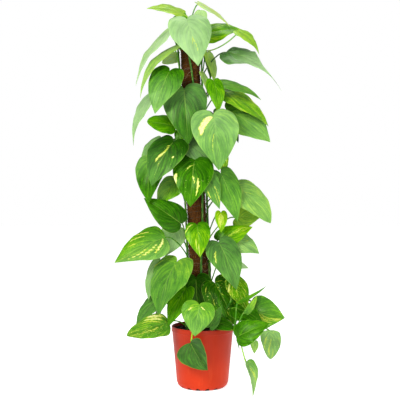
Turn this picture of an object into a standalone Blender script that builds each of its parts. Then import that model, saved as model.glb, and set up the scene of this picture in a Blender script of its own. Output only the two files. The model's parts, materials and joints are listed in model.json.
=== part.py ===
"""Golden pothos grown up a coir pole in a terracotta-coloured nursery pot.

Metres, +Z up. The origin is the centre of the pot's underside, and the plant's front faces -Y.
"""

import math
from collections import namedtuple

import bmesh
import bpy
from mathutils import Vector

MM = 0.001
GAP = 0.0003  # between pieces that touch

# Pot: a thin moulded wall with a deeper band at the rim, a drawn-in foot and drainage arches round it
POT_HEIGHT = 0.162
POT_RIM_RADIUS = 0.084
POT_BAND_DEPTH = 0.013
POT_BAND_STEP = 0.0014
POT_SHOULDER_RADIUS = 0.070  # where the wall turns in to the foot
POT_SHOULDER_HEIGHT = 0.014
POT_FOOT_RADIUS = 0.061
POT_FOOT_WIDTH = 0.005
POT_FLOOR_LIFT = 0.003
POT_WALL = 0.002
POT_BOSS_RADIUS = 0.012
POT_ARCHES = 16
POT_ARCH_RADIUS = 0.006
POT_STEPS = 32

# Soil
SOIL_TOP = 0.156
SOIL_EDGE_TOP = 0.152

# Pole: a stiff core inside a coir sleeve, leaning a little to the left
CORE_RADIUS = 0.0125
COIR_RADIUS = 0.025
COIR_TOP_ROUND = 0.006
COIR_TOP_THICK = 0.012
COIR_FOOT = 0.112  # height where the sleeve starts, below the soil's surface
POLE_FOOT = Vector((0.003, 0.005, 0.0059))
POLE_HEAD = Vector((-0.035, 0.005, 0.915))

# Stems, leaf stalks and blades
STEM_RADIUS = 0.0033
STEM_BURIED = 0.042
STALK_RADIUS = 0.0021
STALK_ROOT = 0.6  # how far a stalk's end is sunk, as a share of the stem's radius
BLADE_THICKNESS = 0.0008
LARGE_BLADE = 0.100  # wider blades have two strips each side of the midrib
SMALL_BLADE = 0.045  # narrower blades have the fewest rows
STALK_DROP = 0.060  # height from a leaf's node on the stem up to its blade

# The eye that the leaves are laid out for: each point of a leaf is written as millimetres across
# and up, as seen from the eye on the upright plane through the pot's axis, and millimetres in front.
EYE_HEIGHT = 0.503
EYE_DISTANCE = 2.0


def seen(across, up, front):
    """A point that stands `front` mm before the pot's axis and shows at (across, up) on the axis plane."""
    near = 1.0 - front * MM / EYE_DISTANCE
    return Vector((across * MM * near, -front * MM, EYE_HEIGHT + (up * MM - EYE_HEIGHT) * near))


def heading(azimuth, elevation=0.0):
    """A unit vector. Azimuth 0 is the plant's front, 90 its right, in degrees."""
    a, e = math.radians(azimuth), math.radians(elevation)
    return Vector((math.sin(a) * math.cos(e), -math.cos(a) * math.cos(e), math.sin(e)))


def pole_axis(z):
    share = (z - POLE_FOOT.z) / (POLE_HEAD.z - POLE_FOOT.z)
    return POLE_FOOT.lerp(POLE_HEAD, share)


# base and tip are (across, up, front) in mm; width in mm; azimuth and elevation say where the upper
# face looks (azimuth None is away from the pole); bend is the arch from base to tip in degrees;
# drip is above 0 for a drawn-out tip and below 0 for a blunt one; lift raises the stalk's arch, as a
# share of its reach; heart says how far the lobes reach back past the stalk, from 0 not at all to 1
# fully; fold is how far the halves rise from the midrib, where 1 is the usual dish.
Leaf = namedtuple(
    "Leaf",
    "name base tip width azimuth elevation bend drip lift heart fold",
    defaults=(0, 30, 40, 0.0, 0.0, 1.0, 1.0),
)

FRONT_VINE_LEAVES = (
    Leaf("crown_lime", (-50, 1010, 10), (-152, 1023, 42), 80, -20, 48, 30, 0.0, 0.0, 0.5),
    Leaf("crown_tuft", (-62, 996, 50), (-62, 925, 60), 46, -10),
    Leaf("crown_pale", (-42, 993, 68), (-12, 867, 102), 112, 5, 35, 45),
    Leaf("crown_bud", (-6, 1019, 26), (-2, 945, 34), 34, 0, 10, 40, 0.0, 0.0, 0.0),
    Leaf("crown_edge", (-6, 1036, 12), (74, 975, 24), 40, 45, 45, 20),
    Leaf("upper_dark", (-50, 802, 48), (-39, 653, 72), 115, -3, 25),
    Leaf("cream_patch", (29, 732, 92), (44, 583, 114), 124, 8, 25),
    Leaf("middle_grey", (-39, 658, 42), (26, 595, 58), 68, 10),
    Leaf("middle_front", (-23, 608, 72), (-34, 484, 98), 106, -2, 25),
    Leaf("lime_heart", (-15, 433, 64), (-7, 347, 86), 66, 0, 25),
    Leaf("low_dark", (-18, 288, 36), (-12, 171, 46), 84, 0, 20),
)

LEFT_VINE_LEAVES = (
    Leaf("left_ghost", (-91, 963, 15), (-182, 812, 30), 90, -60, 35, 40, 0.5),
    Leaf("left_lime", (-79, 917, 35), (-169, 780, 60), 60, -50, 40, 62, 0.3),
    Leaf("left_round", (-69, 892, -20), (-110, 876, -35), 40, 10, 30, 40, -0.5),
    Leaf("left_heart", (-90, 853, 62), (-130, 737, 85), 92, -12, 28),
    Leaf("left_long", (-140, 786, 10), (-188, 650, 20), 64, -50, 30, 50, 0.5),
    Leaf("left_flat", (-78, 704, 25), (-151, 717, 35), 60, -10, 32, 20, -0.6, 0.0, 0.6),
    Leaf("left_knot", (-64, 690, 24), (-62, 650, 28), 26, -10),
    Leaf("left_shade", (-115, 661, -4), (-169, 587, -8), 68, -30),
    Leaf("left_marbled", (-81, 660, 52), (-139, 541, 76), 112, -22),
    Leaf("left_bright", (-140, 612, 24), (-146, 494, 44), 82, -18),
    Leaf("left_folded", (-74, 552, 8), (-122, 487, 16), 70, -15),
    Leaf("left_turned", (-60, 440, 38), (-160, 508, 26), 78, -5, 20, 20, 0.0, 0.0, 0.5),
    Leaf("left_wing", (-104, 400, 40), (-240, 332, 60), 104, -20, 30, 30, 0.0, 0.0, 0.3),
    Leaf("left_grey", (-74, 424, 2), (-102, 350, -4), 70, 0, 20, 20),
    Leaf("left_low", (-71, 334, 66), (-120, 191, 104), 132, -40, 30, 40),
    Leaf("left_edge", (-117, 334, 16), (-147, 231, 30), 60, -40),
)

RIGHT_VINE_LEAVES = (
    Leaf("crown_right", (-2, 950, -16), (105, 967, -26), 84, 0, 40, 30),
    Leaf("crown_gold", (97, 963, 26), (154, 898, 38), 56, 30, 45, 50, 0.4, -0.45, 0.5),
    Leaf("right_drip", (66, 904, 35), (214, 800, 70), 112, 20, 46, 60, 1.35, 0.0, 0.25),
    Leaf("right_gold", (16, 900, 2), (30, 821, 12), 36, 40, 20),
    Leaf("right_bud", (0, 846, 12), (16, 780, 16), 26, 45, 20),
    Leaf("right_small", (31, 824, 66), (42, 740, 72), 50, 20, 25),
    Leaf("right_gloss", (42, 821, 34), (159, 775, 44), 56, 25, 50),
    Leaf("right_yellow", (58, 797, 14), (179, 703, 30), 84, 30, 40),
    Leaf("right_fan", (67, 748, 4), (184, 660, 24), 120, 14, 25),
    Leaf("right_back", (60, 721, -14), (97, 658, -10), 50, 40),
    Leaf("right_streak", (45, 639, 20), (58, 572, 20), 46, 20),
    Leaf("right_grey", (10, 572, 70), (46, 478, 86), 50, -5),
    Leaf("right_front", (50, 574, 48), (94, 444, 72), 78, 12),
    Leaf("right_wing", (96, 538, 18), (185, 440, 44), 94, 25, 30, 40, -0.3),
    Leaf("right_under", (91, 454, -10), (159, 457, -4), 70, 20, 25),
    Leaf("right_spot", (50, 468, 40), (50, 414, 46), 34, 10),
    Leaf("right_mosaic", (48, 394, 24), (137, 430, 20), 60, 15, 30, 20),
    Leaf("right_slim", (80, 396, 8), (154, 357, 16), 76, 30),
    Leaf("right_low", (45, 386, 58), (92, 258, 84), 92, 15, 30, 40, 0.0, 0.0, 0.8),
    Leaf("right_tail", (53, 334, 22), (126, 317, 28), 40, 20),
)

BACK_LEFT_LEAVES = (
    Leaf("back_crown", (-39, 979, -62), (-34, 878, -88), 92, None),
    Leaf("back_left_1", (-83, 840, -45), (-105, 759, -62), 70, None),
    Leaf("back_middle_1", (-34, 797, -85), (-34, 672, -108), 98, None),
    Leaf("back_left_2", (-88, 661, -40), (-121, 568, -58), 76, None),
    Leaf("back_left_3", (-67, 481, -50), (-105, 438, -60), 50, None),
    Leaf("back_left_4", (-121, 411, -30), (-186, 356, -45), 54, None),
    Leaf("back_left_5", (-72, 329, -55), (-94, 215, -80), 86, None),
    Leaf("back_left_6", (-99, 231, -28), (-126, 160, -44), 60, None),
    Leaf("back_middle_4", (-12, 334, -90), (-7, 231, -110), 72, None),
)

BACK_RIGHT_LEAVES = (
    Leaf("back_right_1", (14, 900, -40), (20, 830, -50), 40, None),
    Leaf("back_right_2", (53, 808, -48), (135, 726, -62), 70, None),
    Leaf("back_right_3", (31, 737, -70), (64, 639, -90), 82, None),
    Leaf("back_middle_2", (-34, 639, -80), (-29, 514, -105), 88, None),
    Leaf("back_right_4", (64, 563, -66), (97, 454, -88), 82, None),
    Leaf("back_right_5", (91, 536, -14), (151, 465, -26), 64, None),
    Leaf("back_middle_3", (-12, 465, -95), (-12, 362, -112), 54, None),
    Leaf("back_right_6", (48, 372, -60), (64, 275, -80), 72, None),
    Leaf("back_right_7", (64, 269, -50), (80, 171, -66), 76, None),
    Leaf("back_right_8", (127, 231, -34), (174, 187, -46), 54, None),
)

LEFT_SHOOT_LEAVES = (
    Leaf("pot_left_grey", (-116, 239, 20), (-181, 160, 34), 60, -40),
    Leaf("pot_left_wing", (-92, 171, 66), (-207, 134, 92), 80, -25, 40, 14, -0.4, 0.0, 0.0),
    Leaf("pot_left_fold", (-47, 260, 64), (-93, 158, 80), 62, -20),
)

FRONT_SHOOT_LEAVES = (
    Leaf("pot_heart", (-10, 217, 126), (-22, 132, 142), 84, 0, 25, 30),
    Leaf("pot_hanging", (-33, 114, 108), (14, 40, 120), 84, -40, 15, 25, 0.0, 0.7, 0.3, 4.0),
    Leaf("pot_young", (20, 160, 118), (53, 217, 120), 32, 10, 10, 20, 0, 0.5),
)

RIGHT_SHOOT_LEAVES = (
    Leaf("pot_speckled", (34, 276, 38), (90, 160, 52), 98, 15, 30, 20),
    Leaf("pot_mosaic", (86, 283, 50), (120, 201, 84), 62, 20, 30, 15),
    Leaf("pot_shade", (91, 209, 56), (162, 171, 72), 66, 20, 35),
    Leaf("pot_dark", (132, 198, 16), (224, 182, 36), 100, 20, 20, 30, 0.0, 0.0, 0.6),
    Leaf("pot_drop", (184, 149, 60), (184, 70, 70), 58, 20, 20, 40, -0.4, 0.0, 0.0),
)

TRAILING_SHOOT_LEAVES = (
    Leaf("pot_lying", (26, 174, 92), (98, 147, 98), 44, 0, 50, 20),
    Leaf("pot_wing", (95, 132, 126), (182, 168, 132), 66, 10, 35, 25, 0.0, 0.5, 0.6),
    Leaf("pot_bract", (141, 117, 104), (140, 85, 106), 22, 20, 10, 20),
    Leaf("pot_upright", (121, 198, 92), (148, 245, 96), 24, 40, 10, 20),
    Leaf("pot_spear", (102, 226, 98), (173, 269, 106), 14, 60, 10, 20),
    Leaf("pot_trailing", (119, 63, 150), (135, -37, 156), 46, 55, 10, 30, 0.4, 0.0, 0.3, 4.0),
)

# A climbing stem's route: (height, azimuth round the pole, distance from the pole's axis) in mm and degrees
CLIMB = ((230, 33), (320, 30), (450, 30), (600, 30), (750, 30), (850, 30))
Vine = namedtuple("Vine", "azimuths root_out top leaves")
VINES = {
    "vine_front": Vine((5, 8, 12, 30, 40, 20, 5), 44, ((905, -8, 31), (955, -4, 28), (975, 5, 26)), FRONT_VINE_LEAVES),
    "vine_left": Vine((-80, -80, -82, -78, -80, -84, -80), 42, ((905, -80, 32), (940, -80, 36)), LEFT_VINE_LEAVES),
    "vine_right": Vine((75, 75, 78, 82, 85, 85, 85), 42, ((890, 85, 33), (915, 85, 38)), RIGHT_VINE_LEAVES),
    "vine_back_left": Vine(
        (-150, -152, -150, -146, -150, -154, -150), 42, ((895, -150, 33), (925, -152, 38)), BACK_LEFT_LEAVES
    ),
    "vine_back_right": Vine(
        (145, 148, 150, 152, 148, 144, 148), 42, ((895, 148, 33), (945, 150, 40)), BACK_RIGHT_LEAVES
    ),
}

# A short shoot from the soil: the spot where it is planted and the points it leans through, in mm
Shoot = namedtuple("Shoot", "root route leaves")
SHOOTS = {
    "shoot_left": Shoot((-42, -34), ((-50, -44, 198), (-62, -56, 222), (-74, -60, 240)), LEFT_SHOOT_LEAVES),
    "shoot_front": Shoot((-14, -66), ((-15, -72, 188), (-15, -80, 206)), FRONT_SHOOT_LEAVES),
    "shoot_right": Shoot((46, -32), ((52, -42, 196), (66, -54, 222), (80, -62, 240)), RIGHT_SHOOT_LEAVES),
    "shoot_trailing": Shoot(
        (44, -54),
        ((52, -62, 178), (64, -76, 188), (78, -90, 176), (88, -104, 150), (94, -116, 118)),
        TRAILING_SHOOT_LEAVES,
    ),
}


def smooth_route(points, per_span):
    """Points on a smooth curve through the given points."""
    padded = [2 * points[0] - points[1], *points, 2 * points[-1] - points[-2]]
    route = []
    for a, b, c, d in zip(padded, padded[1:], padded[2:], padded[3:]):
        for i in range(per_span):
            t = i / per_span
            route.append(
                0.5 * (2 * b + (c - a) * t + (2 * a - 5 * b + 4 * c - d) * t**2 + (3 * b - a - 3 * c + d) * t**3)
            )
    return [*route, points[-1]]


def buried_points(x, y):
    """The straight foot of a stem in its hole, up to just above the soil."""
    return [Vector((x, y, z)) for z in (SOIL_TOP - STEM_BURIED, SOIL_TOP, SOIL_TOP + 0.018)]


def vine_route(vine):
    """Centreline of a stem that climbs the pole."""
    root = pole_axis(SOIL_TOP) + heading(vine.azimuths[0]) * vine.root_out * MM
    points = buried_points(root.x, root.y)
    climb = [(up, azimuth, out) for (up, out), azimuth in zip(CLIMB, vine.azimuths[1:])]
    for up, azimuth, out in [*climb, *vine.top]:
        points.append(pole_axis(up * MM) + heading(azimuth) * out * MM)
    return [points[0], *smooth_route(points[1:], 2)]


def shoot_route(shoot):
    """Centreline of a short shoot that stands in the soil."""
    points = buried_points(shoot.root[0] * MM, shoot.root[1] * MM)
    points += [Vector(p) * MM for p in shoot.route]
    return [points[0], *smooth_route(points[1:], 2)]


def nearest(route, point):
    """The point of a route nearest to a point; the buried foot is left out."""
    best = None
    for a, b in zip(route, route[1:]):
        for i in range(8):
            p = a.lerp(b, i / 8)
            if p.z < SOIL_TOP + 0.004 and b.z < SOIL_TOP + 0.02:
                continue
            if best is None or (p - point).length < best[0]:
                best = ((p - point).length, p)
    return best[1]


def bezier(a, b, c, d, t):
    s = 1.0 - t
    return a * s**3 + 3 * b * s * s * t + 3 * c * s * t * t + d * t**3


LOBE_SHARE = 0.4  # share of the half outline that runs round the lobe, from the notch to the widest place


def margin(t, drip, heart):
    """Half of the heart-shaped outline, from the notch (0) to the tip (1), as shares of length and width."""
    if t < LOBE_SHARE:
        u = t / LOBE_SHARE
        return bezier(0, -0.17 * heart, -0.24 * heart, 0.13, u), bezier(0, 0.03, 0.44, 0.5, u)
    u = (t - LOBE_SHARE) / (1 - LOBE_SHARE)
    return bezier(0.13, 0.42, 0.78 - 0.34 * drip, 1, u), bezier(0.5, 0.57, 0.2 - 0.18 * drip, 0, u)


VEIN_SWEEP = 2.4  # how far the side veins lean towards the tip
HALF_RISE = 0.16  # each half rises from the midrib by this slope
EDGE_FALL = 0.42  # and falls again towards its edge
EDGE_WAVE = 0.022  # height of the waves in the edge, as a share of the width
EDGE_WAVES = 2.5


class Blade:
    """The curved surface of one leaf blade."""

    def __init__(self, leaf):
        self.base = seen(*leaf.base)
        tip = seen(*leaf.tip)
        self.width = leaf.width * MM
        self.drip, self.heart, self.fold = leaf.drip, leaf.heart, leaf.fold
        self.chord = (tip - self.base).normalized()
        azimuth = leaf.azimuth
        if azimuth is None:
            middle = (self.base + tip) / 2
            out = middle - pole_axis(middle.z)
            azimuth = math.degrees(math.atan2(out.x, -out.y))
        face = heading(azimuth, leaf.elevation)
        self.up = (face - face.dot(self.chord) * self.chord).normalized()
        self.side = self.chord.cross(self.up)
        self.bend = math.radians(max(leaf.bend, 1))
        self.radius = (tip - self.base).length / (2 * math.sin(self.bend / 2))
        self.phase = leaf.width * 0.7 + azimuth

    def midrib(self, s):
        """Point and upward normal at the share s of the midrib."""
        angle = self.bend * (0.5 - s)
        along = self.radius * (math.sin(self.bend / 2) - math.sin(angle))
        lift = self.radius * (math.cos(angle) - math.cos(self.bend / 2))
        normal = self.up * math.cos(angle) - self.chord * math.sin(angle)
        return self.base + self.chord * along + self.up * lift, normal

    def point(self, t, v):
        """t runs from the notch to the tip and v from one edge (-1) to the other (1)."""
        x, y = margin(t, self.drip, self.heart)
        share = t**VEIN_SWEEP
        x = share + (x - share) * abs(v)
        across = y * v
        wave = EDGE_WAVE * v * v * math.sin(EDGE_WAVES * math.tau * t + self.phase) * math.sin(math.pi * t)
        rise = HALF_RISE * self.fold * abs(across) - EDGE_FALL * across * across + wave
        on_rib, normal = self.midrib(x)
        return on_rib + self.side * across * self.width + normal * rise * self.width


def new_object(name, mesh, collection):
    obj = bpy.data.objects.new(name, mesh)
    collection.objects.link(obj)
    return obj


def apply_modifiers(obj):
    """Puts the evaluated shape in place of the object's own and drops its modifiers."""
    graph = bpy.context.evaluated_depsgraph_get()
    shape = bpy.data.meshes.new_from_object(obj.evaluated_get(graph))
    obj.modifiers.clear()
    obj.data = shape
    return obj


def blade_object(leaf, name, collection):
    """A thin leaf blade: a grid bent to the leaf's surface and given thickness."""
    blade = Blade(leaf)
    strips = 2 if blade.width > LARGE_BLADE else 1
    rows = 5 if blade.width < SMALL_BLADE else 6
    bm = bmesh.new()
    bmesh.ops.create_grid(bm, x_segments=rows, y_segments=2 * strips, size=1)
    for vertex in bm.verts:
        vertex.co = blade.point((vertex.co.x + 1) / 2, vertex.co.y)
    bmesh.ops.remove_doubles(bm, verts=bm.verts, dist=0.02 * MM)
    bmesh.ops.triangulate(bm, faces=bm.faces, quad_method="FIXED")
    mesh = bpy.data.meshes.new(name)
    bm.to_mesh(mesh)
    bm.free()
    obj = new_object(name, mesh, collection)
    shell = obj.modifiers.new("thickness", "SOLIDIFY")
    shell.thickness = BLADE_THICKNESS
    shell.offset = 0
    return apply_modifiers(obj)


def tube_object(name, route, radii, sides_level, collection):
    """A round bar along a route, as a mesh with welded caps."""
    curve = bpy.data.curves.new(name, "CURVE")
    curve.dimensions = "3D"
    curve.bevel_depth = 1.0
    curve.bevel_resolution = sides_level
    curve.use_fill_caps = True
    spline = curve.splines.new("POLY")
    spline.points.add(len(route) - 1)
    for point, place, radius in zip(spline.points, route, radii):
        point.co = (*place, 1)
        point.radius = radius
    guide = new_object(name, curve, collection)
    graph = bpy.context.evaluated_depsgraph_get()
    mesh = bpy.data.meshes.new_from_object(guide.evaluated_get(graph))
    bpy.data.objects.remove(guide)
    bm = bmesh.new()
    bm.from_mesh(mesh)
    bmesh.ops.remove_doubles(bm, verts=bm.verts, dist=0.01 * MM)
    bmesh.ops.recalc_face_normals(bm, faces=bm.faces)
    bm.to_mesh(mesh)
    bm.free()
    return new_object(name, mesh, collection)


STALK_SPANS = 3


def stalk_route(stem, blade, lift):
    """Centreline of a leaf stalk, from its node on the stem to a little way under the midrib."""
    node = nearest(stem, blade.base - Vector((0, 0, STALK_DROP)))
    reach = (blade.base - node).length
    out = Vector((blade.base.x - node.x, blade.base.y - node.y, 0))
    out = out.normalized() if out.length > 1 * MM else heading(0)
    up = Vector((0, 0, 1))
    root = node - out * STEM_RADIUS * STALK_ROOT
    leave = node + (up * (0.30 + lift) + out * 0.14) * reach
    arrive = blade.base + (up * (0.14 + lift) - out * 0.24) * reach
    under, normal = blade.midrib(0.02)
    arrive_at = under - normal * STALK_RADIUS
    route = [bezier(root, leave, arrive, arrive_at, i / STALK_SPANS) for i in range(STALK_SPANS + 1)]
    route.append(blade.midrib(0.12)[0])
    return route


def leafy_stem(name, route, leaves, plant):
    """One stem with all its stalks and blades, joined into a single body."""
    repeats = bpy.data.collections.new(f"{name}_repeats")
    bpy.context.scene.collection.children.link(repeats)
    count = len(route)
    radii = [STEM_RADIUS * (1 - 0.25 * i / count) for i in range(count)]
    stem = tube_object(name, route, radii, 1, plant)
    for leaf in leaves:
        blade_object(leaf, f"blade_{leaf.name}", repeats)
        path = stalk_route(route, Blade(leaf), leaf.lift)
        widths = [STALK_RADIUS] * (len(path) - 1) + [BLADE_THICKNESS * 0.4]
        tube_object(f"stalk_{leaf.name}", path, widths, 0, repeats)
    union = stem.modifiers.new("join", "BOOLEAN")
    union.operation = "UNION"
    union.operand_type = "COLLECTION"
    union.collection = repeats
    union.solver = "MANIFOLD"
    apply_modifiers(stem)
    for piece in list(repeats.objects):
        bpy.data.objects.remove(piece)
    bpy.data.collections.remove(repeats)
    return stem


def turned(name, profile, steps, collection):
    """A turned solid. The profile runs from the axis down the outer side and back to the axis."""
    mesh = bpy.data.meshes.new(name)
    points = [(r, 0, z) for r, z in profile]
    mesh.from_pydata(points, [(i, i + 1) for i in range(len(points) - 1)], [])
    obj = new_object(name, mesh, collection)
    screw = obj.modifiers.new("turn", "SCREW")
    screw.steps = screw.render_steps = steps
    screw.use_merge_vertices = True
    screw.merge_threshold = 0.01 * MM
    return apply_modifiers(obj)


def rod(name, foot, head, radius, sides, collection):
    """A straight round bar between two points."""
    bm = bmesh.new()
    bmesh.ops.create_cone(
        bm, cap_ends=True, segments=sides, radius1=radius, radius2=radius, depth=(head - foot).length
    )
    mesh = bpy.data.meshes.new(name)
    bm.to_mesh(mesh)
    bm.free()
    obj = new_object(name, mesh, collection)
    obj.rotation_mode = "QUATERNION"
    obj.rotation_quaternion = (head - foot).to_track_quat("Z", "Y")
    obj.location = (foot + head) / 2
    return obj


def cut(obj, cutters):
    """Takes a collection of cutters out of an object."""
    bpy.context.view_layer.update()
    tool = obj.modifiers.new("cut", "BOOLEAN")
    tool.operation = "DIFFERENCE"
    tool.operand_type = "COLLECTION"
    tool.collection = cutters
    apply_modifiers(obj)
    for cutter in list(cutters.objects):
        bpy.data.objects.remove(cutter)


def make_pot(plant, cutters):
    """Thin pot with a rim band, a raised floor on a foot ring and centre boss, and drainage arches."""
    band_z = POT_HEIGHT - POT_BAND_DEPTH
    wall_top = POT_RIM_RADIUS - POT_BAND_STEP
    floor = POT_FLOOR_LIFT + POT_WALL
    profile = [
        (0, floor),
        (POT_FOOT_RADIUS - POT_FOOT_WIDTH, floor),
        (POT_SHOULDER_RADIUS - POT_WALL, POT_SHOULDER_HEIGHT + POT_WALL / 2),
        (wall_top - POT_WALL, POT_HEIGHT),
        (POT_RIM_RADIUS, POT_HEIGHT),
        (POT_RIM_RADIUS, band_z),
        (wall_top, band_z - POT_BAND_STEP / 2),
        (POT_SHOULDER_RADIUS, POT_SHOULDER_HEIGHT),
        ((POT_SHOULDER_RADIUS + POT_FOOT_RADIUS) / 2 + 0.0015, POT_SHOULDER_HEIGHT * 0.35),
        (POT_FOOT_RADIUS, 0),
        (POT_FOOT_RADIUS - POT_FOOT_WIDTH, 0),
        (POT_FOOT_RADIUS - POT_FOOT_WIDTH - POT_WALL, POT_FLOOR_LIFT),
        (POT_BOSS_RADIUS + POT_WALL, POT_FLOOR_LIFT),
        (POT_BOSS_RADIUS, 0),
        (0, 0),
    ]
    pot = turned("pot", profile, POT_STEPS, plant)
    inner, outer = POT_FOOT_RADIUS - 0.013, POT_SHOULDER_RADIUS + 0.010
    for i in range(POT_ARCHES):
        out = heading((i + 0.5) * 360 / POT_ARCHES)
        rod(f"arch_{i}", out * inner, out * outer, POT_ARCH_RADIUS, 8, cutters)
    cut(pot, cutters)
    return pot


def make_pole(plant):
    """The stiff core and, round it, the coir sleeve that closes over its top."""
    up = (POLE_HEAD - POLE_FOOT).normalized()
    length = (POLE_HEAD - POLE_FOOT).length
    core = rod("pole_core", POLE_FOOT, POLE_HEAD - up * (COIR_TOP_THICK + GAP), CORE_RADIUS, 20, plant)
    foot = COIR_FOOT - POLE_FOOT.z
    bore = CORE_RADIUS + GAP
    profile = [
        (0, length),
        (COIR_RADIUS - COIR_TOP_ROUND, length),
        (COIR_RADIUS, length - COIR_TOP_ROUND),
        (COIR_RADIUS, foot),
        (bore, foot),
        (bore, length - COIR_TOP_THICK),
        (0, length - COIR_TOP_THICK),
    ]
    sleeve = turned("pole_coir", profile, 24, plant)
    sleeve.rotation_mode = "QUATERNION"
    sleeve.rotation_quaternion = up.to_track_quat("Z", "Y")
    sleeve.location = POLE_FOOT
    return core, sleeve


def make_soil(plant, cutters, stem_roots):
    """Potting soil that fills the pot, with holes for the pole and for each stem."""
    floor = POT_FLOOR_LIFT + POT_WALL + GAP
    slope = (POT_RIM_RADIUS - POT_BAND_STEP - POT_SHOULDER_RADIUS) / (POT_HEIGHT - POT_SHOULDER_HEIGHT)
    edge = POT_SHOULDER_RADIUS - POT_WALL - 2 * GAP
    profile = [
        (0, SOIL_TOP),
        (POT_RIM_RADIUS * 0.6, SOIL_TOP - 1 * MM),
        (edge + slope * (SOIL_EDGE_TOP - POT_SHOULDER_HEIGHT) - 0.3 * MM, SOIL_EDGE_TOP),
        (edge, POT_SHOULDER_HEIGHT + POT_WALL),
        (POT_FOOT_RADIUS - POT_FOOT_WIDTH - 0.5 * MM, floor),
        (0, floor),
    ]
    soil = turned("soil", profile, POT_STEPS // 2, plant)
    up = (POLE_HEAD - POLE_FOOT).normalized()
    above = pole_axis(SOIL_TOP + 0.02)
    rod("hole_core", POLE_FOOT - up * 0.02, above, CORE_RADIUS + 2 * GAP, 20, cutters)
    cut(soil, cutters)
    sleeve_foot = POLE_FOOT + up * (COIR_FOOT - POLE_FOOT.z - GAP)
    rod("hole_sleeve", sleeve_foot, above, COIR_RADIUS + 2 * GAP, 24, cutters)
    for i, (x, y) in enumerate(stem_roots):
        foot = Vector((x, y, SOIL_TOP - STEM_BURIED - GAP))
        rod(f"hole_{i}", foot, foot + Vector((0, 0, STEM_BURIED + 0.02)), STEM_RADIUS + 2 * GAP, 10, cutters)
    cut(soil, cutters)
    return soil


def material(name, colour, roughness):
    made = bpy.data.materials.new(name)
    made.use_nodes = True
    shader = made.node_tree.nodes["Principled BSDF"]
    shader.inputs["Base Color"].default_value = (*colour, 1)
    shader.inputs["Roughness"].default_value = roughness
    shader.inputs["Metallic"].default_value = 0
    return made


def paint(obj, made):
    """Gives an object its one material and shades its rounded faces smooth."""
    obj.data.materials.clear()
    obj.data.materials.append(made)
    obj.data.shade_smooth()
    obj.data.set_sharp_from_angle(angle=math.radians(45))


def main():
    for obj in list(bpy.data.objects):
        bpy.data.objects.remove(obj)
    plant = bpy.data.collections.new("golden_pothos")
    cutters = bpy.data.collections.new("cutters")
    cutters.hide_render = True
    bpy.context.scene.collection.children.link(plant)
    bpy.context.scene.collection.children.link(cutters)

    stems = {name: (vine_route(vine), vine.leaves) for name, vine in VINES.items()}
    for name, shoot in SHOOTS.items():
        stems[name] = (shoot_route(shoot), shoot.leaves)

    paint(make_pot(plant, cutters), material("terracotta_plastic", (0.62, 0.10, 0.035), 0.4))
    core, sleeve = make_pole(plant)
    paint(core, material("core_wood", (0.45, 0.30, 0.16), 0.7))
    paint(sleeve, material("coir_fibre", (0.16, 0.06, 0.03), 0.95))
    roots = [(route[0].x, route[0].y) for route, _ in stems.values()]
    paint(make_soil(plant, cutters, roots), material("potting_soil", (0.02, 0.013, 0.009), 1.0))
    green = material("pothos_leaf", (0.08, 0.30, 0.03), 0.35)
    for name, (route, leaves) in stems.items():
        paint(leafy_stem(name, route, leaves, plant), green)
    bpy.data.collections.remove(cutters)


main()
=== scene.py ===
"""Golden pothos on a coir pole in a nursery pot: the finished surfaces round the CAD frame.

Metres, +Z up. The origin is the centre of the pot's underside, and the plant's front faces -Y.
"""

import json
import math
import random
from collections import namedtuple

import bmesh
import bpy
import numpy as np
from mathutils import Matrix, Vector

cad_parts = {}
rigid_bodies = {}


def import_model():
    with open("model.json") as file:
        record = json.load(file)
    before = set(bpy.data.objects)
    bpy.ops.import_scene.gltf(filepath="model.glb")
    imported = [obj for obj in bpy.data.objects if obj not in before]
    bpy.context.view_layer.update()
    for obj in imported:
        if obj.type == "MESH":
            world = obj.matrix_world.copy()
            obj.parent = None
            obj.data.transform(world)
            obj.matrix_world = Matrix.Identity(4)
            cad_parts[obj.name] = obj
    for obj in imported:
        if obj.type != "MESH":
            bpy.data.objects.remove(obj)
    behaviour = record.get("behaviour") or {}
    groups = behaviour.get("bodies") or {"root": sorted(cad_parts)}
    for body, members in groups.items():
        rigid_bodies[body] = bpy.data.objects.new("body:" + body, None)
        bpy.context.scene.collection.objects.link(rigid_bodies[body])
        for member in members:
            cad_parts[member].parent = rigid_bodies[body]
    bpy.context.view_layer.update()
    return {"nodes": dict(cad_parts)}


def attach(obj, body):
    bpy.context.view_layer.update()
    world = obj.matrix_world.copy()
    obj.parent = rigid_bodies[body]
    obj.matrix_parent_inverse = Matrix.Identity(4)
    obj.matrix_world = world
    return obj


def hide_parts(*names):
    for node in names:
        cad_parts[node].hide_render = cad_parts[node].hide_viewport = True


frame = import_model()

MM = 0.001
UP = Vector((0, 0, 1))

# Pot
POT_HEIGHT = 0.162
POT_RIM_RADIUS = 0.084
POT_BAND_DEPTH = 0.013
POT_BAND_STEP = 0.0014
POT_SHOULDER_RADIUS = 0.070
POT_SHOULDER_HEIGHT = 0.014
POT_FOOT_RADIUS = 0.061
POT_FOOT_WIDTH = 0.005
POT_FLOOR_LIFT = 0.003
POT_WALL = 0.002
POT_BOSS_RADIUS = 0.012
POT_ARCHES = 16
POT_ARCH_RADIUS = 0.006
POT_ROUNDING = 0.0012
POT_STEPS = 128
SOIL_TOP = 0.156
SOIL_EDGE_TOP = 0.152

# Pole
COIR_RADIUS = 0.025
COIR_BORE = 0.0129
COIR_TOP_ROUND = 0.006
COIR_TOP_THICK = 0.012
COIR_FOOT = 0.112
POLE_FOOT = Vector((0.003, 0.005, 0.0059))
POLE_HEAD = Vector((-0.035, 0.005, 0.915))

# Stems, stalks and blades
STEM_RADIUS = 0.0033
STEM_BURIED = 0.042
STALK_RADIUS = 0.0021
STALK_ROOT = 0.6
STALK_DROP = 0.060
BLADE_THICKNESS = 0.0007

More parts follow.
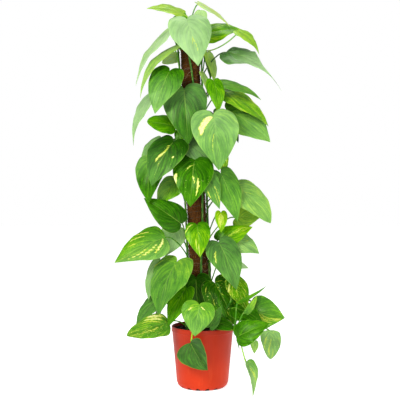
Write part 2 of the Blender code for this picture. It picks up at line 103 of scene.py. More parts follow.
# The eye that the leaves are laid out for, as in the frame's source
EYE_HEIGHT = 0.503
EYE_DISTANCE = 2.0


def seen(across, up, front):
    """A point that stands `front` mm before the pot's axis and shows at (across, up) on the axis plane."""
    near = 1.0 - front * MM / EYE_DISTANCE
    return Vector((across * MM * near, -front * MM, EYE_HEIGHT + (up * MM - EYE_HEIGHT) * near))


def heading(azimuth, elevation=0.0):
    """A unit vector. Azimuth 0 is the plant's front, 90 its right, in degrees."""
    a, e = math.radians(azimuth), math.radians(elevation)
    return Vector((math.sin(a) * math.cos(e), -math.cos(a) * math.cos(e), math.sin(e)))


def pole_axis(z):
    share = (z - POLE_FOOT.z) / (POLE_HEAD.z - POLE_FOOT.z)
    return POLE_FOOT.lerp(POLE_HEAD, share)


# base and tip are (across, up, front) in mm; width in mm; azimuth and elevation say where the upper
# face looks (azimuth None is away from the pole); bend is the arch from base to tip in degrees;
# drip is above 0 for a drawn-out tip and below 0 for a blunt one; lift raises the stalk's arch, as a
# share of its reach; heart says how far the lobes reach back past the stalk, from 0 not at all to 1
# fully; fold is how far the halves rise from the midrib, where 1 is the usual dish.
Leaf = namedtuple(
    "Leaf",
    "name base tip width azimuth elevation bend drip lift heart fold",
    defaults=(0, 30, 40, 0.0, 0.0, 1.0, 1.0),
)

FRONT_VINE_LEAVES = (
    Leaf("crown_lime", (-50, 1010, 10), (-152, 1023, 42), 80, -20, 48, 30, 0.0, 0.0, 0.5),
    Leaf("crown_tuft", (-62, 996, 50), (-62, 925, 60), 46, -10),
    Leaf("crown_pale", (-42, 993, 68), (-12, 867, 102), 112, 5, 35, 45),
    Leaf("crown_bud", (-6, 1019, 26), (-2, 945, 34), 34, 0, 10, 40, 0.0, 0.0, 0.0),
    Leaf("crown_edge", (-6, 1036, 12), (74, 975, 24), 40, 45, 45, 20),
    Leaf("upper_dark", (-50, 802, 48), (-39, 653, 72), 115, -3, 25),
    Leaf("cream_patch", (29, 732, 92), (44, 583, 114), 124, 8, 25),
    Leaf("middle_grey", (-39, 658, 42), (26, 595, 58), 68, 10),
    Leaf("middle_front", (-23, 608, 72), (-34, 484, 98), 106, -2, 25),
    Leaf("lime_heart", (-15, 433, 64), (-7, 347, 86), 66, 0, 25),
    Leaf("low_dark", (-18, 288, 36), (-12, 171, 46), 84, 0, 20),
)

LEFT_VINE_LEAVES = (
    Leaf("left_ghost", (-91, 963, 15), (-182, 812, 30), 90, -60, 35, 40, 0.5),
    Leaf("left_lime", (-79, 917, 35), (-169, 780, 60), 60, -50, 40, 62, 0.3),
    Leaf("left_round", (-69, 892, -20), (-110, 876, -35), 40, 10, 30, 40, -0.5),
    Leaf("left_heart", (-90, 853, 62), (-130, 737, 85), 92, -12, 28),
    Leaf("left_long", (-140, 786, 10), (-188, 650, 20), 64, -50, 30, 50, 0.5),
    Leaf("left_flat", (-78, 704, 25), (-151, 717, 35), 60, -10, 32, 20, -0.6, 0.0, 0.6),
    Leaf("left_knot", (-64, 690, 24), (-62, 650, 28), 26, -10),
    Leaf("left_shade", (-115, 661, -4), (-169, 587, -8), 68, -30),
    Leaf("left_marbled", (-81, 660, 52), (-139, 541, 76), 112, -22),
    Leaf("left_bright", (-140, 612, 24), (-146, 494, 44), 82, -18),
    Leaf("left_folded", (-74, 552, 8), (-122, 487, 16), 70, -15),
    Leaf("left_turned", (-60, 440, 38), (-160, 508, 26), 78, -5, 20, 20, 0.0, 0.0, 0.5),
    Leaf("left_wing", (-104, 400, 40), (-240, 332, 60), 104, -20, 30, 30, 0.0, 0.0, 0.3),
    Leaf("left_grey", (-74, 424, 2), (-102, 350, -4), 70, 0, 20, 20),
    Leaf("left_low", (-71, 334, 66), (-120, 191, 104), 132, -40, 30, 40),
    Leaf("left_edge", (-117, 334, 16), (-147, 231, 30), 60, -40),
)

RIGHT_VINE_LEAVES = (
    Leaf("crown_right", (-2, 950, -16), (105, 967, -26), 84, 0, 40, 30),
    Leaf("crown_gold", (97, 963, 26), (154, 898, 38), 56, 30, 45, 50, 0.4, -0.45, 0.5),
    Leaf("right_drip", (66, 904, 35), (214, 800, 70), 112, 20, 46, 60, 1.35, 0.0, 0.25),
    Leaf("right_gold", (16, 900, 2), (30, 821, 12), 36, 40, 20),
    Leaf("right_bud", (0, 846, 12), (16, 780, 16), 26, 45, 20),
    Leaf("right_small", (31, 824, 66), (42, 740, 72), 50, 20, 25),
    Leaf("right_gloss", (42, 821, 34), (159, 775, 44), 56, 25, 50),
    Leaf("right_yellow", (58, 797, 14), (179, 703, 30), 84, 30, 40),
    Leaf("right_fan", (67, 748, 4), (184, 660, 24), 120, 14, 25),
    Leaf("right_back", (60, 721, -14), (97, 658, -10), 50, 40),
    Leaf("right_streak", (45, 639, 20), (58, 572, 20), 46, 20),
    Leaf("right_grey", (10, 572, 70), (46, 478, 86), 50, -5),
    Leaf("right_front", (50, 574, 48), (94, 444, 72), 78, 12),
    Leaf("right_wing", (96, 538, 18), (185, 440, 44), 94, 25, 30, 40, -0.3),
    Leaf("right_under", (91, 454, -10), (159, 457, -4), 70, 20, 25),
    Leaf("right_spot", (50, 468, 40), (50, 414, 46), 34, 10),
    Leaf("right_mosaic", (48, 394, 24), (137, 430, 20), 60, 15, 30, 20),
    Leaf("right_slim", (80, 396, 8), (154, 357, 16), 76, 30),
    Leaf("right_low", (45, 386, 58), (92, 258, 84), 92, 15, 30, 40, 0.0, 0.0, 0.8),
    Leaf("right_tail", (53, 334, 22), (126, 317, 28), 40, 20),
)

BACK_LEFT_LEAVES = (
    Leaf("back_crown", (-39, 979, -62), (-34, 878, -88), 92, None),
    Leaf("back_left_1", (-83, 840, -45), (-105, 759, -62), 70, None),
    Leaf("back_middle_1", (-34, 797, -85), (-34, 672, -108), 98, None),
    Leaf("back_left_2", (-88, 661, -40), (-121, 568, -58), 76, None),
    Leaf("back_left_3", (-67, 481, -50), (-105, 438, -60), 50, None),
    Leaf("back_left_4", (-121, 411, -30), (-186, 356, -45), 54, None),
    Leaf("back_left_5", (-72, 329, -55), (-94, 215, -80), 86, None),
    Leaf("back_left_6", (-99, 231, -28), (-126, 160, -44), 60, None),
    Leaf("back_middle_4", (-12, 334, -90), (-7, 231, -110), 72, None),
)

BACK_RIGHT_LEAVES = (
    Leaf("back_right_1", (14, 900, -40), (20, 830, -50), 40, None),
    Leaf("back_right_2", (53, 808, -48), (135, 726, -62), 70, None),
    Leaf("back_right_3", (31, 737, -70), (64, 639, -90), 82, None),
    Leaf("back_middle_2", (-34, 639, -80), (-29, 514, -105), 88, None),
    Leaf("back_right_4", (64, 563, -66), (97, 454, -88), 82, None),
    Leaf("back_right_5", (91, 536, -14), (151, 465, -26), 64, None),
    Leaf("back_middle_3", (-12, 465, -95), (-12, 362, -112), 54, None),
    Leaf("back_right_6", (48, 372, -60), (64, 275, -80), 72, None),
    Leaf("back_right_7", (64, 269, -50), (80, 171, -66), 76, None),
    Leaf("back_right_8", (127, 231, -34), (174, 187, -46), 54, None),
)

LEFT_SHOOT_LEAVES = (
    Leaf("pot_left_grey", (-116, 239, 20), (-181, 160, 34), 60, -40),
    Leaf("pot_left_wing", (-92, 171, 66), (-207, 134, 92), 80, -25, 40, 14, -0.4, 0.0, 0.0),
    Leaf("pot_left_fold", (-47, 260, 64), (-93, 158, 80), 62, -20),
)

FRONT_SHOOT_LEAVES = (
    Leaf("pot_heart", (-10, 217, 126), (-22, 132, 142), 84, 0, 25, 30),
    Leaf("pot_hanging", (-33, 114, 108), (14, 40, 120), 84, -40, 15, 25, 0.0, 0.7, 0.3, 4.0),
    Leaf("pot_young", (20, 160, 118), (53, 217, 120), 32, 10, 10, 20, 0, 0.5),
)

RIGHT_SHOOT_LEAVES = (
    Leaf("pot_speckled", (34, 276, 38), (90, 160, 52), 98, 15, 30, 20),
    Leaf("pot_mosaic", (86, 283, 50), (120, 201, 84), 62, 20, 30, 15),
    Leaf("pot_shade", (91, 209, 56), (162, 171, 72), 66, 20, 35),
    Leaf("pot_dark", (132, 198, 16), (224, 182, 36), 100, 20, 20, 30, 0.0, 0.0, 0.6),
    Leaf("pot_drop", (184, 149, 60), (184, 70, 70), 58, 20, 20, 40, -0.4, 0.0, 0.0),
)

TRAILING_SHOOT_LEAVES = (
    Leaf("pot_lying", (26, 174, 92), (98, 147, 98), 44, 0, 50, 20),
    Leaf("pot_wing", (95, 132, 126), (182, 168, 132), 66, 10, 35, 25, 0.0, 0.5, 0.6),
    Leaf("pot_bract", (141, 117, 104), (140, 85, 106), 22, 20, 10, 20),
    Leaf("pot_upright", (121, 198, 92), (148, 245, 96), 24, 40, 10, 20),
    Leaf("pot_spear", (102, 226, 98), (173, 269, 106), 14, 60, 10, 20),
    Leaf("pot_trailing", (119, 63, 150), (135, -37, 156), 46, 55, 10, 30, 0.4, 0.0, 0.3, 4.0),
)

# How a leaf looks. near and far are its green at the stalk and at the tip, from 0 dark to 1 yellow-green,
# holding the leaf's own green and painted light, with one end darker or lighter as the leaf faces the lamps;
# pale fades it towards mint, partly the leaf's own paleness and partly painted sheen and glare; slant makes
# one half paler than the other, and the last field makes it paler towards the tip, both painted sheen;
# marble is how much of it is marbled; marks are marbled places, as (course, v, reach along course, reach
# along v, strength), where course numbers the side veins' lines from 0 at the notch to 1 at the tip and v
# is -1 or 1 at an edge.
Look = namedtuple(
    "Look", "near far pale marble marks slant bloom", defaults=(0.4, 0.5, 0.0, 0.1, (), 0.0, 0.0)
)
LOOKS = {
    "crown_lime": Look(1.0, 1.0, 0.1, 0.5),
    "crown_tuft": Look(0.6, 0.7),
    "crown_pale": Look(0.55, 0.55, 0.58, 0.05, ((0.72, -0.1, 0.03, 0.3, 0.69),), slant=0.08),
    "crown_bud": Look(0.85, 0.85, 0.65, 0.05),
    "crown_edge": Look(1.0, 1.0, 1.0, 0.6),
    "upper_dark": Look(0.3, 0.2, 0.14, 0.05, bloom=-0.12),
    "cream_patch": Look(0.68, 0.55, 0.34, 0.1, (
        (0.25, 0.4, 0.085, 0.35, 1.0), (0.6, 0.34, 0.025, 0.26, 0.69), (0.3, 0.85, 0.15, 0.3, 0.36),
    ), bloom=-0.15),
    "middle_grey": Look(0.3, 0.4, 0.25, 0.05),
    "middle_front": Look(0.28, 0.42, 0.0, 0.25, (
        (0.36, 0.16, 0.02, 0.22, 0.77), (0.03, 0.6, 0.03, 0.3, 0.56), (0.64, -0.1, 0.03, 0.14, 0.73),
        (0.53, -0.5, 0.06, 0.24, 0.77), (0.2, 0.95, 0.05, 0.14, 1.0), (0.56, 0.6, 0.1, 0.3, 0.39),
    )),
    "lime_heart": Look(0.42, 0.75, 0.0, 0.12, (
        (0.04, 0.75, 0.03, 0.3, 0.77), (0.6, 0.4, 0.06, 0.2, 0.69), (0.85, 0.15, 0.1, 0.16, 0.73),
    )),
    "low_dark": Look(0.1, 0.14, 0.0, 0.05),
    "left_ghost": Look(0.85, 0.85, 0.75, 0.1, slant=-0.2),
    "left_lime": Look(1.0, 1.0, 0.3, 0.4),
    # painted light: this leaf lies in shade, and its tone, pale and marble are raised to make it look lit
    "left_round": Look(0.95, 0.95, 1.0, 0.55),
    "left_heart": Look(0.28, 0.58, 0.0, 0.05, bloom=0.22),
    "left_long": Look(0.5, 0.7, 0.6, 0.1),
    "left_flat": Look(0.45, 0.6, 0.0, 0.05),
    "left_knot": Look(0.4, 0.5, 0.0, 0.2),
    "left_shade": Look(0.5, 0.6, 0.35, 0.2),
    "left_marbled": Look(0.03, 0.32, 0.0, 0.22, (
        (0.48, 0.08, 0.14, 0.09, 0.65), (0.55, 0.22, 0.05, 0.2, 0.73), (0.76, 0.12, 0.12, 0.05, 0.6),
        (0.33, -0.59, 0.025, 0.06, 1.0),
    ), bloom=0.1),
    "left_bright": Look(0.75, 0.3, 0.12, 0.04, slant=0.08, bloom=-0.25),
    "left_folded": Look(0.7, 0.68, 0.12, 0.25, slant=0.12),
    "left_turned": Look(0.05, 0.3, 0.0, 0.05),
    "left_wing": Look(0.6, 0.75, 0.1, 0.3, (
        (0.24, -0.36, 0.035, 0.36, 0.95), (0.38, -0.5, 0.028, 0.32, 0.9), (0.5, -0.55, 0.02, 0.3, 0.82),
        (0.2, 0.82, 0.03, 0.2, 0.72), (0.33, 0.68, 0.03, 0.22, 0.72), (0.78, -0.45, 0.12, 0.3, 0.62),
        (0.5, 0.5, 0.03, 0.3, 0.6),
    ), slant=-0.1),
    "left_grey": Look(0.75, 0.6, 0.55, 0.15),
    "left_low": Look(0.8, 0.5, 0.08, 0.1, ((0.0, 0.75, 0.04, 0.3, 0.56), (0.5, 0.5, 0.2, 0.4, 0.26))),
    "left_edge": Look(0.65, 0.65, 0.45, 0.1),
    "crown_right": Look(0.78, 0.82, 0.0, 0.1),
    "crown_gold": Look(1.0, 1.0, 0.1, 0.35, ((0.3, 0.6, 0.1, 0.3, 0.52),)),
    "right_drip": Look(0.12, 0.45, 0.0, 0.05, bloom=0.75),
    "right_gold": Look(0.92, 0.95, 0.35, 0.5, ((0.4, 0.8, 0.3, 0.3, 0.52),), slant=-0.15),
    "right_bud": Look(1.0, 1.0, 0.5, 0.5),
    "right_small": Look(0.48, 0.68, 0.0, 0.1),
    "right_gloss": Look(0.55, 0.62, 0.1, 0.25, (
        (0.62, 0.0, 0.03, 0.3, 0.47), (0.48, 0.5, 0.03, 0.3, 0.47),
    )),
    "right_yellow": Look(0.76, 0.84, 0.03, 0.35, (
        (0.35, -0.9, 0.15, 0.2, 0.56), (0.25, 0.8, 0.03, 0.3, 0.65),
    )),
    "right_fan": Look(0.4, 0.72, 0.04, 0.15, (
        (0.56, -0.3, 0.03, 0.4, 0.36), (0.4, 0.5, 0.1, 0.4, 0.3),
    ), bloom=0.18),
    "right_back": Look(0.1, 0.15),
    "right_streak": Look(0.7, 0.85, 0.0, 0.5, ((0.5, 0.2, 0.3, 0.3, 0.47),)),
    "right_grey": Look(0.3, 0.5, 0.12, 0.1, (
        (0.38, 0.75, 0.05, 0.16, 0.73), (0.5, -0.6, 0.07, 0.3, 0.69), (0.8, -0.15, 0.08, 0.12, 0.65),
    )),
    "right_front": Look(0.36, 0.52, 0.08, 0.22),
    "right_wing": Look(0.85, 0.78, 0.25, 0.25, (
        (0.3, 0.43, 0.025, 0.25, 0.65), (0.5, -0.12, 0.025, 0.2, 0.6), (0.3, -0.6, 0.025, 0.3, 0.6),
    )),
    "right_under": Look(0.95, 0.95, 0.12, 0.4),
    "right_spot": Look(0.9, 0.9, 0.0, 0.3, ((0.5, 0.1, 0.25, 0.6, 0.69),)),
    "right_mosaic": Look(0.2, 0.85, 0.0, 0.2, ((0.72, -0.3, 0.25, 0.8, 0.53),)),
    "right_slim": Look(0.7, 0.75, 0.36, 0.3, ((0.55, -0.5, 0.2, 0.3, 0.47),)),
    "right_low": Look(0.35, 0.45, 0.12, 0.12, ((0.25, 0.62, 0.035, 0.2, 0.8),)),
    "right_tail": Look(0.7, 0.8, 0.9, 0.1),
    "pot_left_grey": Look(0.35, 0.45, 0.1, 0.2),
    "pot_left_wing": Look(0.55, 0.7, 0.05, 0.46, (
        (0.05, 0.72, 0.05, 0.18, 0.8), (0.17, 0.75, 0.07, 0.22, 0.92), (0.3, 0.55, 0.05, 0.3, 0.86),
        (0.41, 0.4, 0.03, 0.3, 0.72), (0.45, -0.42, 0.03, 0.24, 0.74), (0.55, -0.58, 0.04, 0.32, 0.74),
        (0.65, -0.68, 0.03, 0.28, 0.7), (0.76, 0.3, 0.07, 0.4, 0.62),
    )),
    "pot_left_fold": Look(0.5, 0.5, 0.0, 0.15),
    "pot_heart": Look(0.62, 0.65, 0.05, 0.06, (
        (0.23, 0.47, 0.035, 0.12, 1.0), (0.26, -0.27, 0.035, 0.12, 1.0),
    ), bloom=0.12),
    "pot_hanging": Look(0.15, 0.2, 0.06, 0.04),
    "pot_young": Look(0.15, 0.3, 0.05, 0.1, ((0.5, -0.8, 0.3, 0.12, 0.52),)),
    "pot_speckled": Look(0.2, 0.24, 0.0, 0.42),
    "pot_mosaic": Look(0.5, 0.72, 0.0, 0.5, ((0.14, 0.85, 0.06, 0.3, 0.73), (0.5, 0.2, 0.3, 0.5, 0.43))),
    "pot_shade": Look(0.25, 0.35, 0.0, 0.2),
    "pot_dark": Look(0.2, 0.6, 0.06, 0.2, ((0.55, 0.5, 0.14, 0.5, 0.62),)),
    "pot_drop": Look(0.62, 0.65, 0.35, 0.42, (
        (0.6, 0.3, 0.1, 0.4, 0.6), (0.33, 0.6, 0.06, 0.35, 0.6), (0.7, -0.5, 0.08, 0.3, 0.58),
    )),
    "pot_lying": Look(0.1, 0.15, 0.0, 0.1, ((0.7, 0.9, 0.3, 0.2, 0.52),)),
    "pot_wing": Look(0.4, 0.45, 0.0, 0.15, ((0.38, -0.7, 0.2, 0.3, 0.3),)),
    "pot_bract": Look(0.9, 0.9, 0.3, 0.35),
    "pot_upright": Look(0.55, 0.9, 0.08, 0.25, ((0.5, -0.7, 0.3, 0.3, 0.43),)),
    "pot_spear": Look(0.6, 0.6, 0.0, 0.05),
    "pot_trailing": Look(0.6, 0.75, 0.25, 0.2, (
        (0.45, -0.3, 0.05, 0.25, 0.73), (0.4, -0.6, 0.04, 0.2, 0.65),
    ), slant=0.15, bloom=0.3),
}
BACK_LOOKS = (  # leaves of the back take these in turn
    Look(0.3, 0.5, 0.05, 0.15),
    Look(0.5, 0.6, 0.05, 0.3, ((0.6, 0.4, 0.2, 0.4, 0.6),)),
    Look(0.15, 0.35, 0.05, 0.08),
    Look(0.45, 0.55, 0.15, 0.1),
    Look(0.35, 0.6, 0.0, 0.35, ((0.5, -0.4, 0.25, 0.4, 0.65),)),
)
# Stalks that aren't mid green, from 0 dark to 1 yellow-green
STALK_TONES = {
    "right_drip": 0.02,
    "right_small": 0.1,
    "right_slim": 0.1,
    "right_mosaic": 0.05,
    "crown_right": 0.75,
    "crown_gold": 0.75,
    "pot_heart": 0.9,
    "pot_hanging": 0.9,
    "pot_trailing": 0.85,
    "lime_heart": 0.7,
}

# A climbing stem's route: (height, azimuth round the pole, distance from the pole's axis) in mm and degrees
CLIMB = ((230, 33), (320, 30), (450, 30), (600, 30), (750, 30), (850, 30))
Vine = namedtuple("Vine", "azimuths root_out top leaves")
VINES = {
    "vine_front": Vine(
        (5, 8, 12, 30, 40, 20, 5), 44, ((905, -8, 31), (955, -4, 28), (975, 5, 26)), FRONT_VINE_LEAVES
    ),
    "vine_left": Vine(
        (-80, -80, -82, -78, -80, -84, -80), 42, ((905, -80, 32), (940, -80, 36)), LEFT_VINE_LEAVES
    ),
    "vine_right": Vine((75, 75, 78, 82, 85, 85, 85), 42, ((890, 85, 33), (915, 85, 38)), RIGHT_VINE_LEAVES),
    "vine_back_left": Vine(
        (-150, -152, -150, -146, -150, -154, -150), 42, ((895, -150, 33), (925, -152, 38)), BACK_LEFT_LEAVES
    ),
    "vine_back_right": Vine(
        (145, 148, 150, 152, 148, 144, 148), 42, ((895, 148, 33), (945, 150, 40)), BACK_RIGHT_LEAVES
    ),
}

# A short shoot from the soil: the spot where it is planted and the points it leans through, in mm
Shoot = namedtuple("Shoot", "root route leaves")
SHOOTS = {
    "shoot_left": Shoot((-42, -34), ((-50, -44, 198), (-62, -56, 222), (-74, -60, 240)), LEFT_SHOOT_LEAVES),
    "shoot_front": Shoot((-14, -66), ((-15, -72, 188), (-15, -80, 206)), FRONT_SHOOT_LEAVES),
    "shoot_right": Shoot((46, -32), ((52, -42, 196), (66, -54, 222), (80, -62, 240)), RIGHT_SHOOT_LEAVES),
    "shoot_trailing": Shoot(
        (44, -54),
        ((52, -62, 178), (64, -76, 188), (78, -90, 176), (88, -104, 150), (94, -116, 118)),
        TRAILING_SHOOT_LEAVES,
    ),
}


def smooth_route(points, per_span):
    """Points on a smooth curve through the given points."""
    padded = [2 * points[0] - points[1], *points, 2 * points[-1] - points[-2]]
    route = []
    for a, b, c, d in zip(padded, padded[1:], padded[2:], padded[3:]):
        for i in range(per_span):
            t = i / per_span
            squared = (2 * a - 5 * b + 4 * c - d) * t**2
            route.append(0.5 * (2 * b + (c - a) * t + squared + (3 * b - a - 3 * c + d) * t**3))
    return [*route, points[-1]]


def buried_points(x, y):
    """The straight foot of a stem in its hole, up to just above the soil."""
    return [Vector((x, y, z)) for z in (SOIL_TOP - STEM_BURIED, SOIL_TOP, SOIL_TOP + 0.018)]


def vine_route(vine):
    """Centreline of a stem that climbs the pole."""
    root = pole_axis(SOIL_TOP) + heading(vine.azimuths[0]) * vine.root_out * MM
    points = buried_points(root.x, root.y)
    climb = [(up, azimuth, out) for (up, out), azimuth in zip(CLIMB, vine.azimuths[1:])]
    for up, azimuth, out in [*climb, *vine.top]:
        points.append(pole_axis(up * MM) + heading(azimuth) * out * MM)
    return [points[0], *smooth_route(points[1:], 8)]


def shoot_route(shoot):
    """Centreline of a short shoot that stands in the soil."""
    points = buried_points(shoot.root[0] * MM, shoot.root[1] * MM)
    points += [Vector(p) * MM for p in shoot.route]
    return [points[0], *smooth_route(points[1:], 8)]


def nearest(route, point):
    """The point of a route nearest to a point; the buried foot is left out."""
    best = None
    for a, b in zip(route, route[1:]):
        for i in range(8):
            p = a.lerp(b, i / 8)
            if p.z < SOIL_TOP + 0.004 and b.z < SOIL_TOP + 0.02:
                continue
            if best is None or (p - point).length < best[0]:
                best = ((p - point).length, p)
    return best[1]


def bezier(a, b, c, d, t):
    s = 1.0 - t
    return a * s**3 + 3 * b * s * s * t + 3 * c * s * t * t + d * t**3


LOBE_SHARE = 0.4


def margin(t, drip, heart):
    """Half of the heart-shaped outline, from the notch (0) to the tip (1), as shares of length and width."""
    if t < LOBE_SHARE:
        u = t / LOBE_SHARE
        return bezier(0, -0.17 * heart, -0.24 * heart, 0.13, u), bezier(0, 0.03, 0.44, 0.5, u)
    u = (t - LOBE_SHARE) / (1 - LOBE_SHARE)
    return bezier(0.13, 0.42, 0.78 - 0.34 * drip, 1, u), bezier(0.5, 0.57, 0.2 - 0.18 * drip, 0, u)


VEIN_SWEEP = 2.4
HALF_RISE = 0.16
EDGE_FALL = 0.42
EDGE_WAVE = 0.022
EDGE_WAVES = 2.5
SIDE_VEINS = 8  # side veins in each half of a blade
VEIN_LEAN = 0.42  # how far a side vein leans towards the tip on its way out
QUILTING = 0.0075  # rise of the surface between the side veins, as a share of the width
GROOVE = 0.006  # depth of the groove over the midrib
FRILL = 0.010  # height of the small waves along the edge
FRILLS = 6
ROWS = 6 * SIDE_VEINS
# places of the points in each half of a row, from the midrib (0) to the edge (1)
COLUMNS = (0.0, 0.04, 0.10, 0.18, 0.27, 0.36, 0.46, 0.56, 0.66, 0.76, 0.85, 0.93, 0.975, 1.0)


class Blade:
    """The curved surface of one leaf blade, laid out as in the frame's source and finished finer."""

    def __init__(self, leaf, rng):
        self.base = seen(*leaf.base)
        tip = seen(*leaf.tip)
        self.width = leaf.width * MM
        self.drip, self.heart, self.fold = leaf.drip, leaf.heart, leaf.fold
        self.chord = (tip - self.base).normalized()
        azimuth = leaf.azimuth
        if azimuth is None:
            middle = (self.base + tip) / 2
            out = middle - pole_axis(middle.z)
            azimuth = math.degrees(math.atan2(out.x, -out.y))
        face = heading(azimuth, leaf.elevation)
        self.up = (face - face.dot(self.chord) * self.chord).normalized()
        self.side = self.chord.cross(self.up)
        self.bend = math.radians(max(leaf.bend, 1))
        self.radius = (tip - self.base).length / (2 * math.sin(self.bend / 2))
        self.phase = leaf.width * 0.7 + azimuth
        self.frill_phase = rng.uniform(0, math.tau)
        self.vein_phase = rng.uniform(0, 1)
        self.twist = rng.uniform(-0.05, 0.05)

    def midrib(self, s):
        """Point and upward normal at the share s of the midrib."""
        angle = self.bend * (0.5 - s)
        along = self.radius * (math.sin(self.bend / 2) - math.sin(angle))
        lift = self.radius * (math.cos(angle) - math.cos(self.bend / 2))
        normal = self.up * math.cos(angle) - self.chord * math.sin(angle)
        return self.base + self.chord * along + self.up * lift, normal

    def point(self, t, v):
        """t runs from the notch to the tip and v from one edge (-1) to the other (1)."""
        x, y = margin(t, self.drip, self.heart)
        share = t**VEIN_SWEEP
        x = share + (x - share) * abs(v)
        across = y * v
        ends = math.sin(math.pi * t)
        wave = EDGE_WAVE * v * v * math.sin(EDGE_WAVES * math.tau * t + self.phase) * ends
        rise = HALF_RISE * self.fold * abs(across) - EDGE_FALL * across * across + wave
        flat = abs(v)
        ribs = 0.5 - 0.5 * math.cos(math.tau * (SIDE_VEINS * (t - VEIN_LEAN * flat) + self.vein_phase))
        rise += QUILTING * ribs * math.sqrt(flat) * (1 - flat**3) * ends
        rise -= GROOVE * max(0.0, 1 - flat / 0.1) * (1 - t)
        rise += FRILL * flat**4 * math.sin(FRILLS * math.tau * t + self.frill_phase + v) * ends
        rise += self.twist * across * (t - 0.4) * 2
        on_rib, normal = self.midrib(x)
        return on_rib + self.side * across * self.width + normal * rise * self.width


ATTRIBUTES = ("leaf_t", "leaf_v", "tone", "pale", "marble", "seed", "veins")
LEAF_TOP, LEAF_UNDER, STEM, ROOT = range(4)  # material slots of a leafy piece


class Body:
    """Points, faces, material slots and per-point values of one piece, gathered before it is made."""

    def __init__(self):
        self.points, self.faces, self.slots, self.values = [], [], [], []

    def add(self, points, faces, slot, values):
        """values is one row of ATTRIBUTES for each point; slot is one number or one for each face."""
        start = len(self.points)
        self.points.extend(points)
        self.faces.extend([tuple(start + i for i in face) for face in faces])
        self.slots.extend([slot] * len(faces) if isinstance(slot, int) else slot)
        self.values.extend(values)

    def made(self, name, materials, sharp=50):
        mesh = bpy.data.meshes.new(name)
        mesh.from_pydata([tuple(p) for p in self.points], [], self.faces)
        for made in materials:
            mesh.materials.append(made)
        mesh.polygons.foreach_set("material_index", self.slots)
        table = np.array(self.values, dtype=np.float32)
        for i, attribute in enumerate(ATTRIBUTES):
            layer = mesh.attributes.new(attribute, "FLOAT", "POINT")
            layer.data.foreach_set("value", np.ascontiguousarray(table[:, i]))
        return linked(name, mesh, sharp)


def linked(name, mesh, sharp):
    """An object of a finished mesh, shaded smooth with edges sharper than the angle kept."""
    mesh.validate()
    mesh.shade_smooth()
    mesh.set_sharp_from_angle(angle=math.radians(sharp))
    obj = bpy.data.objects.new(name, mesh)
    bpy.context.scene.collection.objects.link(obj)
    return obj


def smooth_step(x):
    x = min(max(x, 0.0), 1.0)
    return x * x * (3 - 2 * x)


def add_blade(body, leaf, look, rng):
    """A thin closed shell with an upper and a lower face that meet in a rounded edge."""
    blade = Blade(leaf, rng)
    across = [-v for v in reversed(COLUMNS[1:])] + list(COLUMNS)
    count = len(across)
    grid = []
    for i in range(ROWS + 1):
        t = i / ROWS
        t = t + 0.06 * math.sin(math.tau * t) / math.tau  # rows a little closer at both ends
        grid.append([(t, v, blade.point(t, v)) for v in across])
    seed = rng.random()
    near = look.near + rng.uniform(-0.05, 0.05)
    far = look.far + rng.uniform(-0.05, 0.05)

    def values(t, v):
        marble = look.marble
        for mark, mark_v, reach, reach_v, strength in look.marks:
            away = math.hypot((t - VEIN_LEAN * abs(v) - mark) / reach, (v - mark_v) / reach_v)
            marble = max(marble, strength * smooth_step((1.3 - away) / 0.5))
        # the leaf's own green with painted light: one end darker or lighter as the leaf faces the lamps
        tone = near + (far - near) * smooth_step((t - 0.1) / 0.7)
        # the leaf's own paleness with painted sheen: slant pales one half, and the last term pales the part
        # towards the tip
        pale = look.pale + look.slant * v + look.bloom * smooth_step((t - 0.3) / 0.6)
        return (t, v, tone, max(0.0, pale), marble, seed, blade.vein_phase)

    def normal_at(i, j):
        a = grid[min(i + 1, ROWS)][j][2] - grid[max(i - 1, 0)][j][2]
        b = grid[i][min(j + 1, count - 1)][2] - grid[i][max(j - 1, 0)][2]
        normal = b.cross(a)
        if normal.length < 1e-12:
            return blade.midrib(0.0 if i == 0 else 1.0)[1]
        normal = normal.normalized()
        return normal if normal.dot(blade.midrib(0.5)[1]) > 0 else -normal

    points, rows, index = [], [], {}
    for half in (1, -1):
        for i in range(ROWS + 1):
            for j in range(count):
                if i in (0, ROWS) and j > 0:
                    index[half, i, j] = index[half, i, 0]
                    continue
                t, v, place = grid[i][j]
                middle = count // 2
                normal = normal_at(i, middle if i in (0, ROWS) else j)
                thin = 0.6 if abs(v) == 1 else 1.0
                index[half, i, j] = len(points)
                points.append(place + normal * half * thin * BLADE_THICKNESS / 2)
                rows.append(values(t, v))
    faces, slots = [], []

    def face(corners, slot):
        ring = []
        for corner in corners:
            if not ring or corner != ring[-1]:
                ring.append(corner)
        if ring[0] == ring[-1]:
            ring.pop()
        if len(ring) > 2:
            faces.append(tuple(ring))
            slots.append(slot)

    for i in range(ROWS):
        for j in range(count - 1):
            square = [(i, j), (i + 1, j), (i + 1, j + 1), (i, j + 1)]
            face([index[1, a, b] for a, b in square], LEAF_TOP)
            face([index[-1, a, b] for a, b in reversed(square)], LEAF_UNDER)
        for j, turn in ((0, 1), (count - 1, -1)):
            ring = [index[1, i, j], index[-1, i, j], index[-1, i + 1, j], index[1, i + 1, j]]
            face(ring[::turn], LEAF_TOP)
    body.add(points, faces, slots, rows)
    return blade


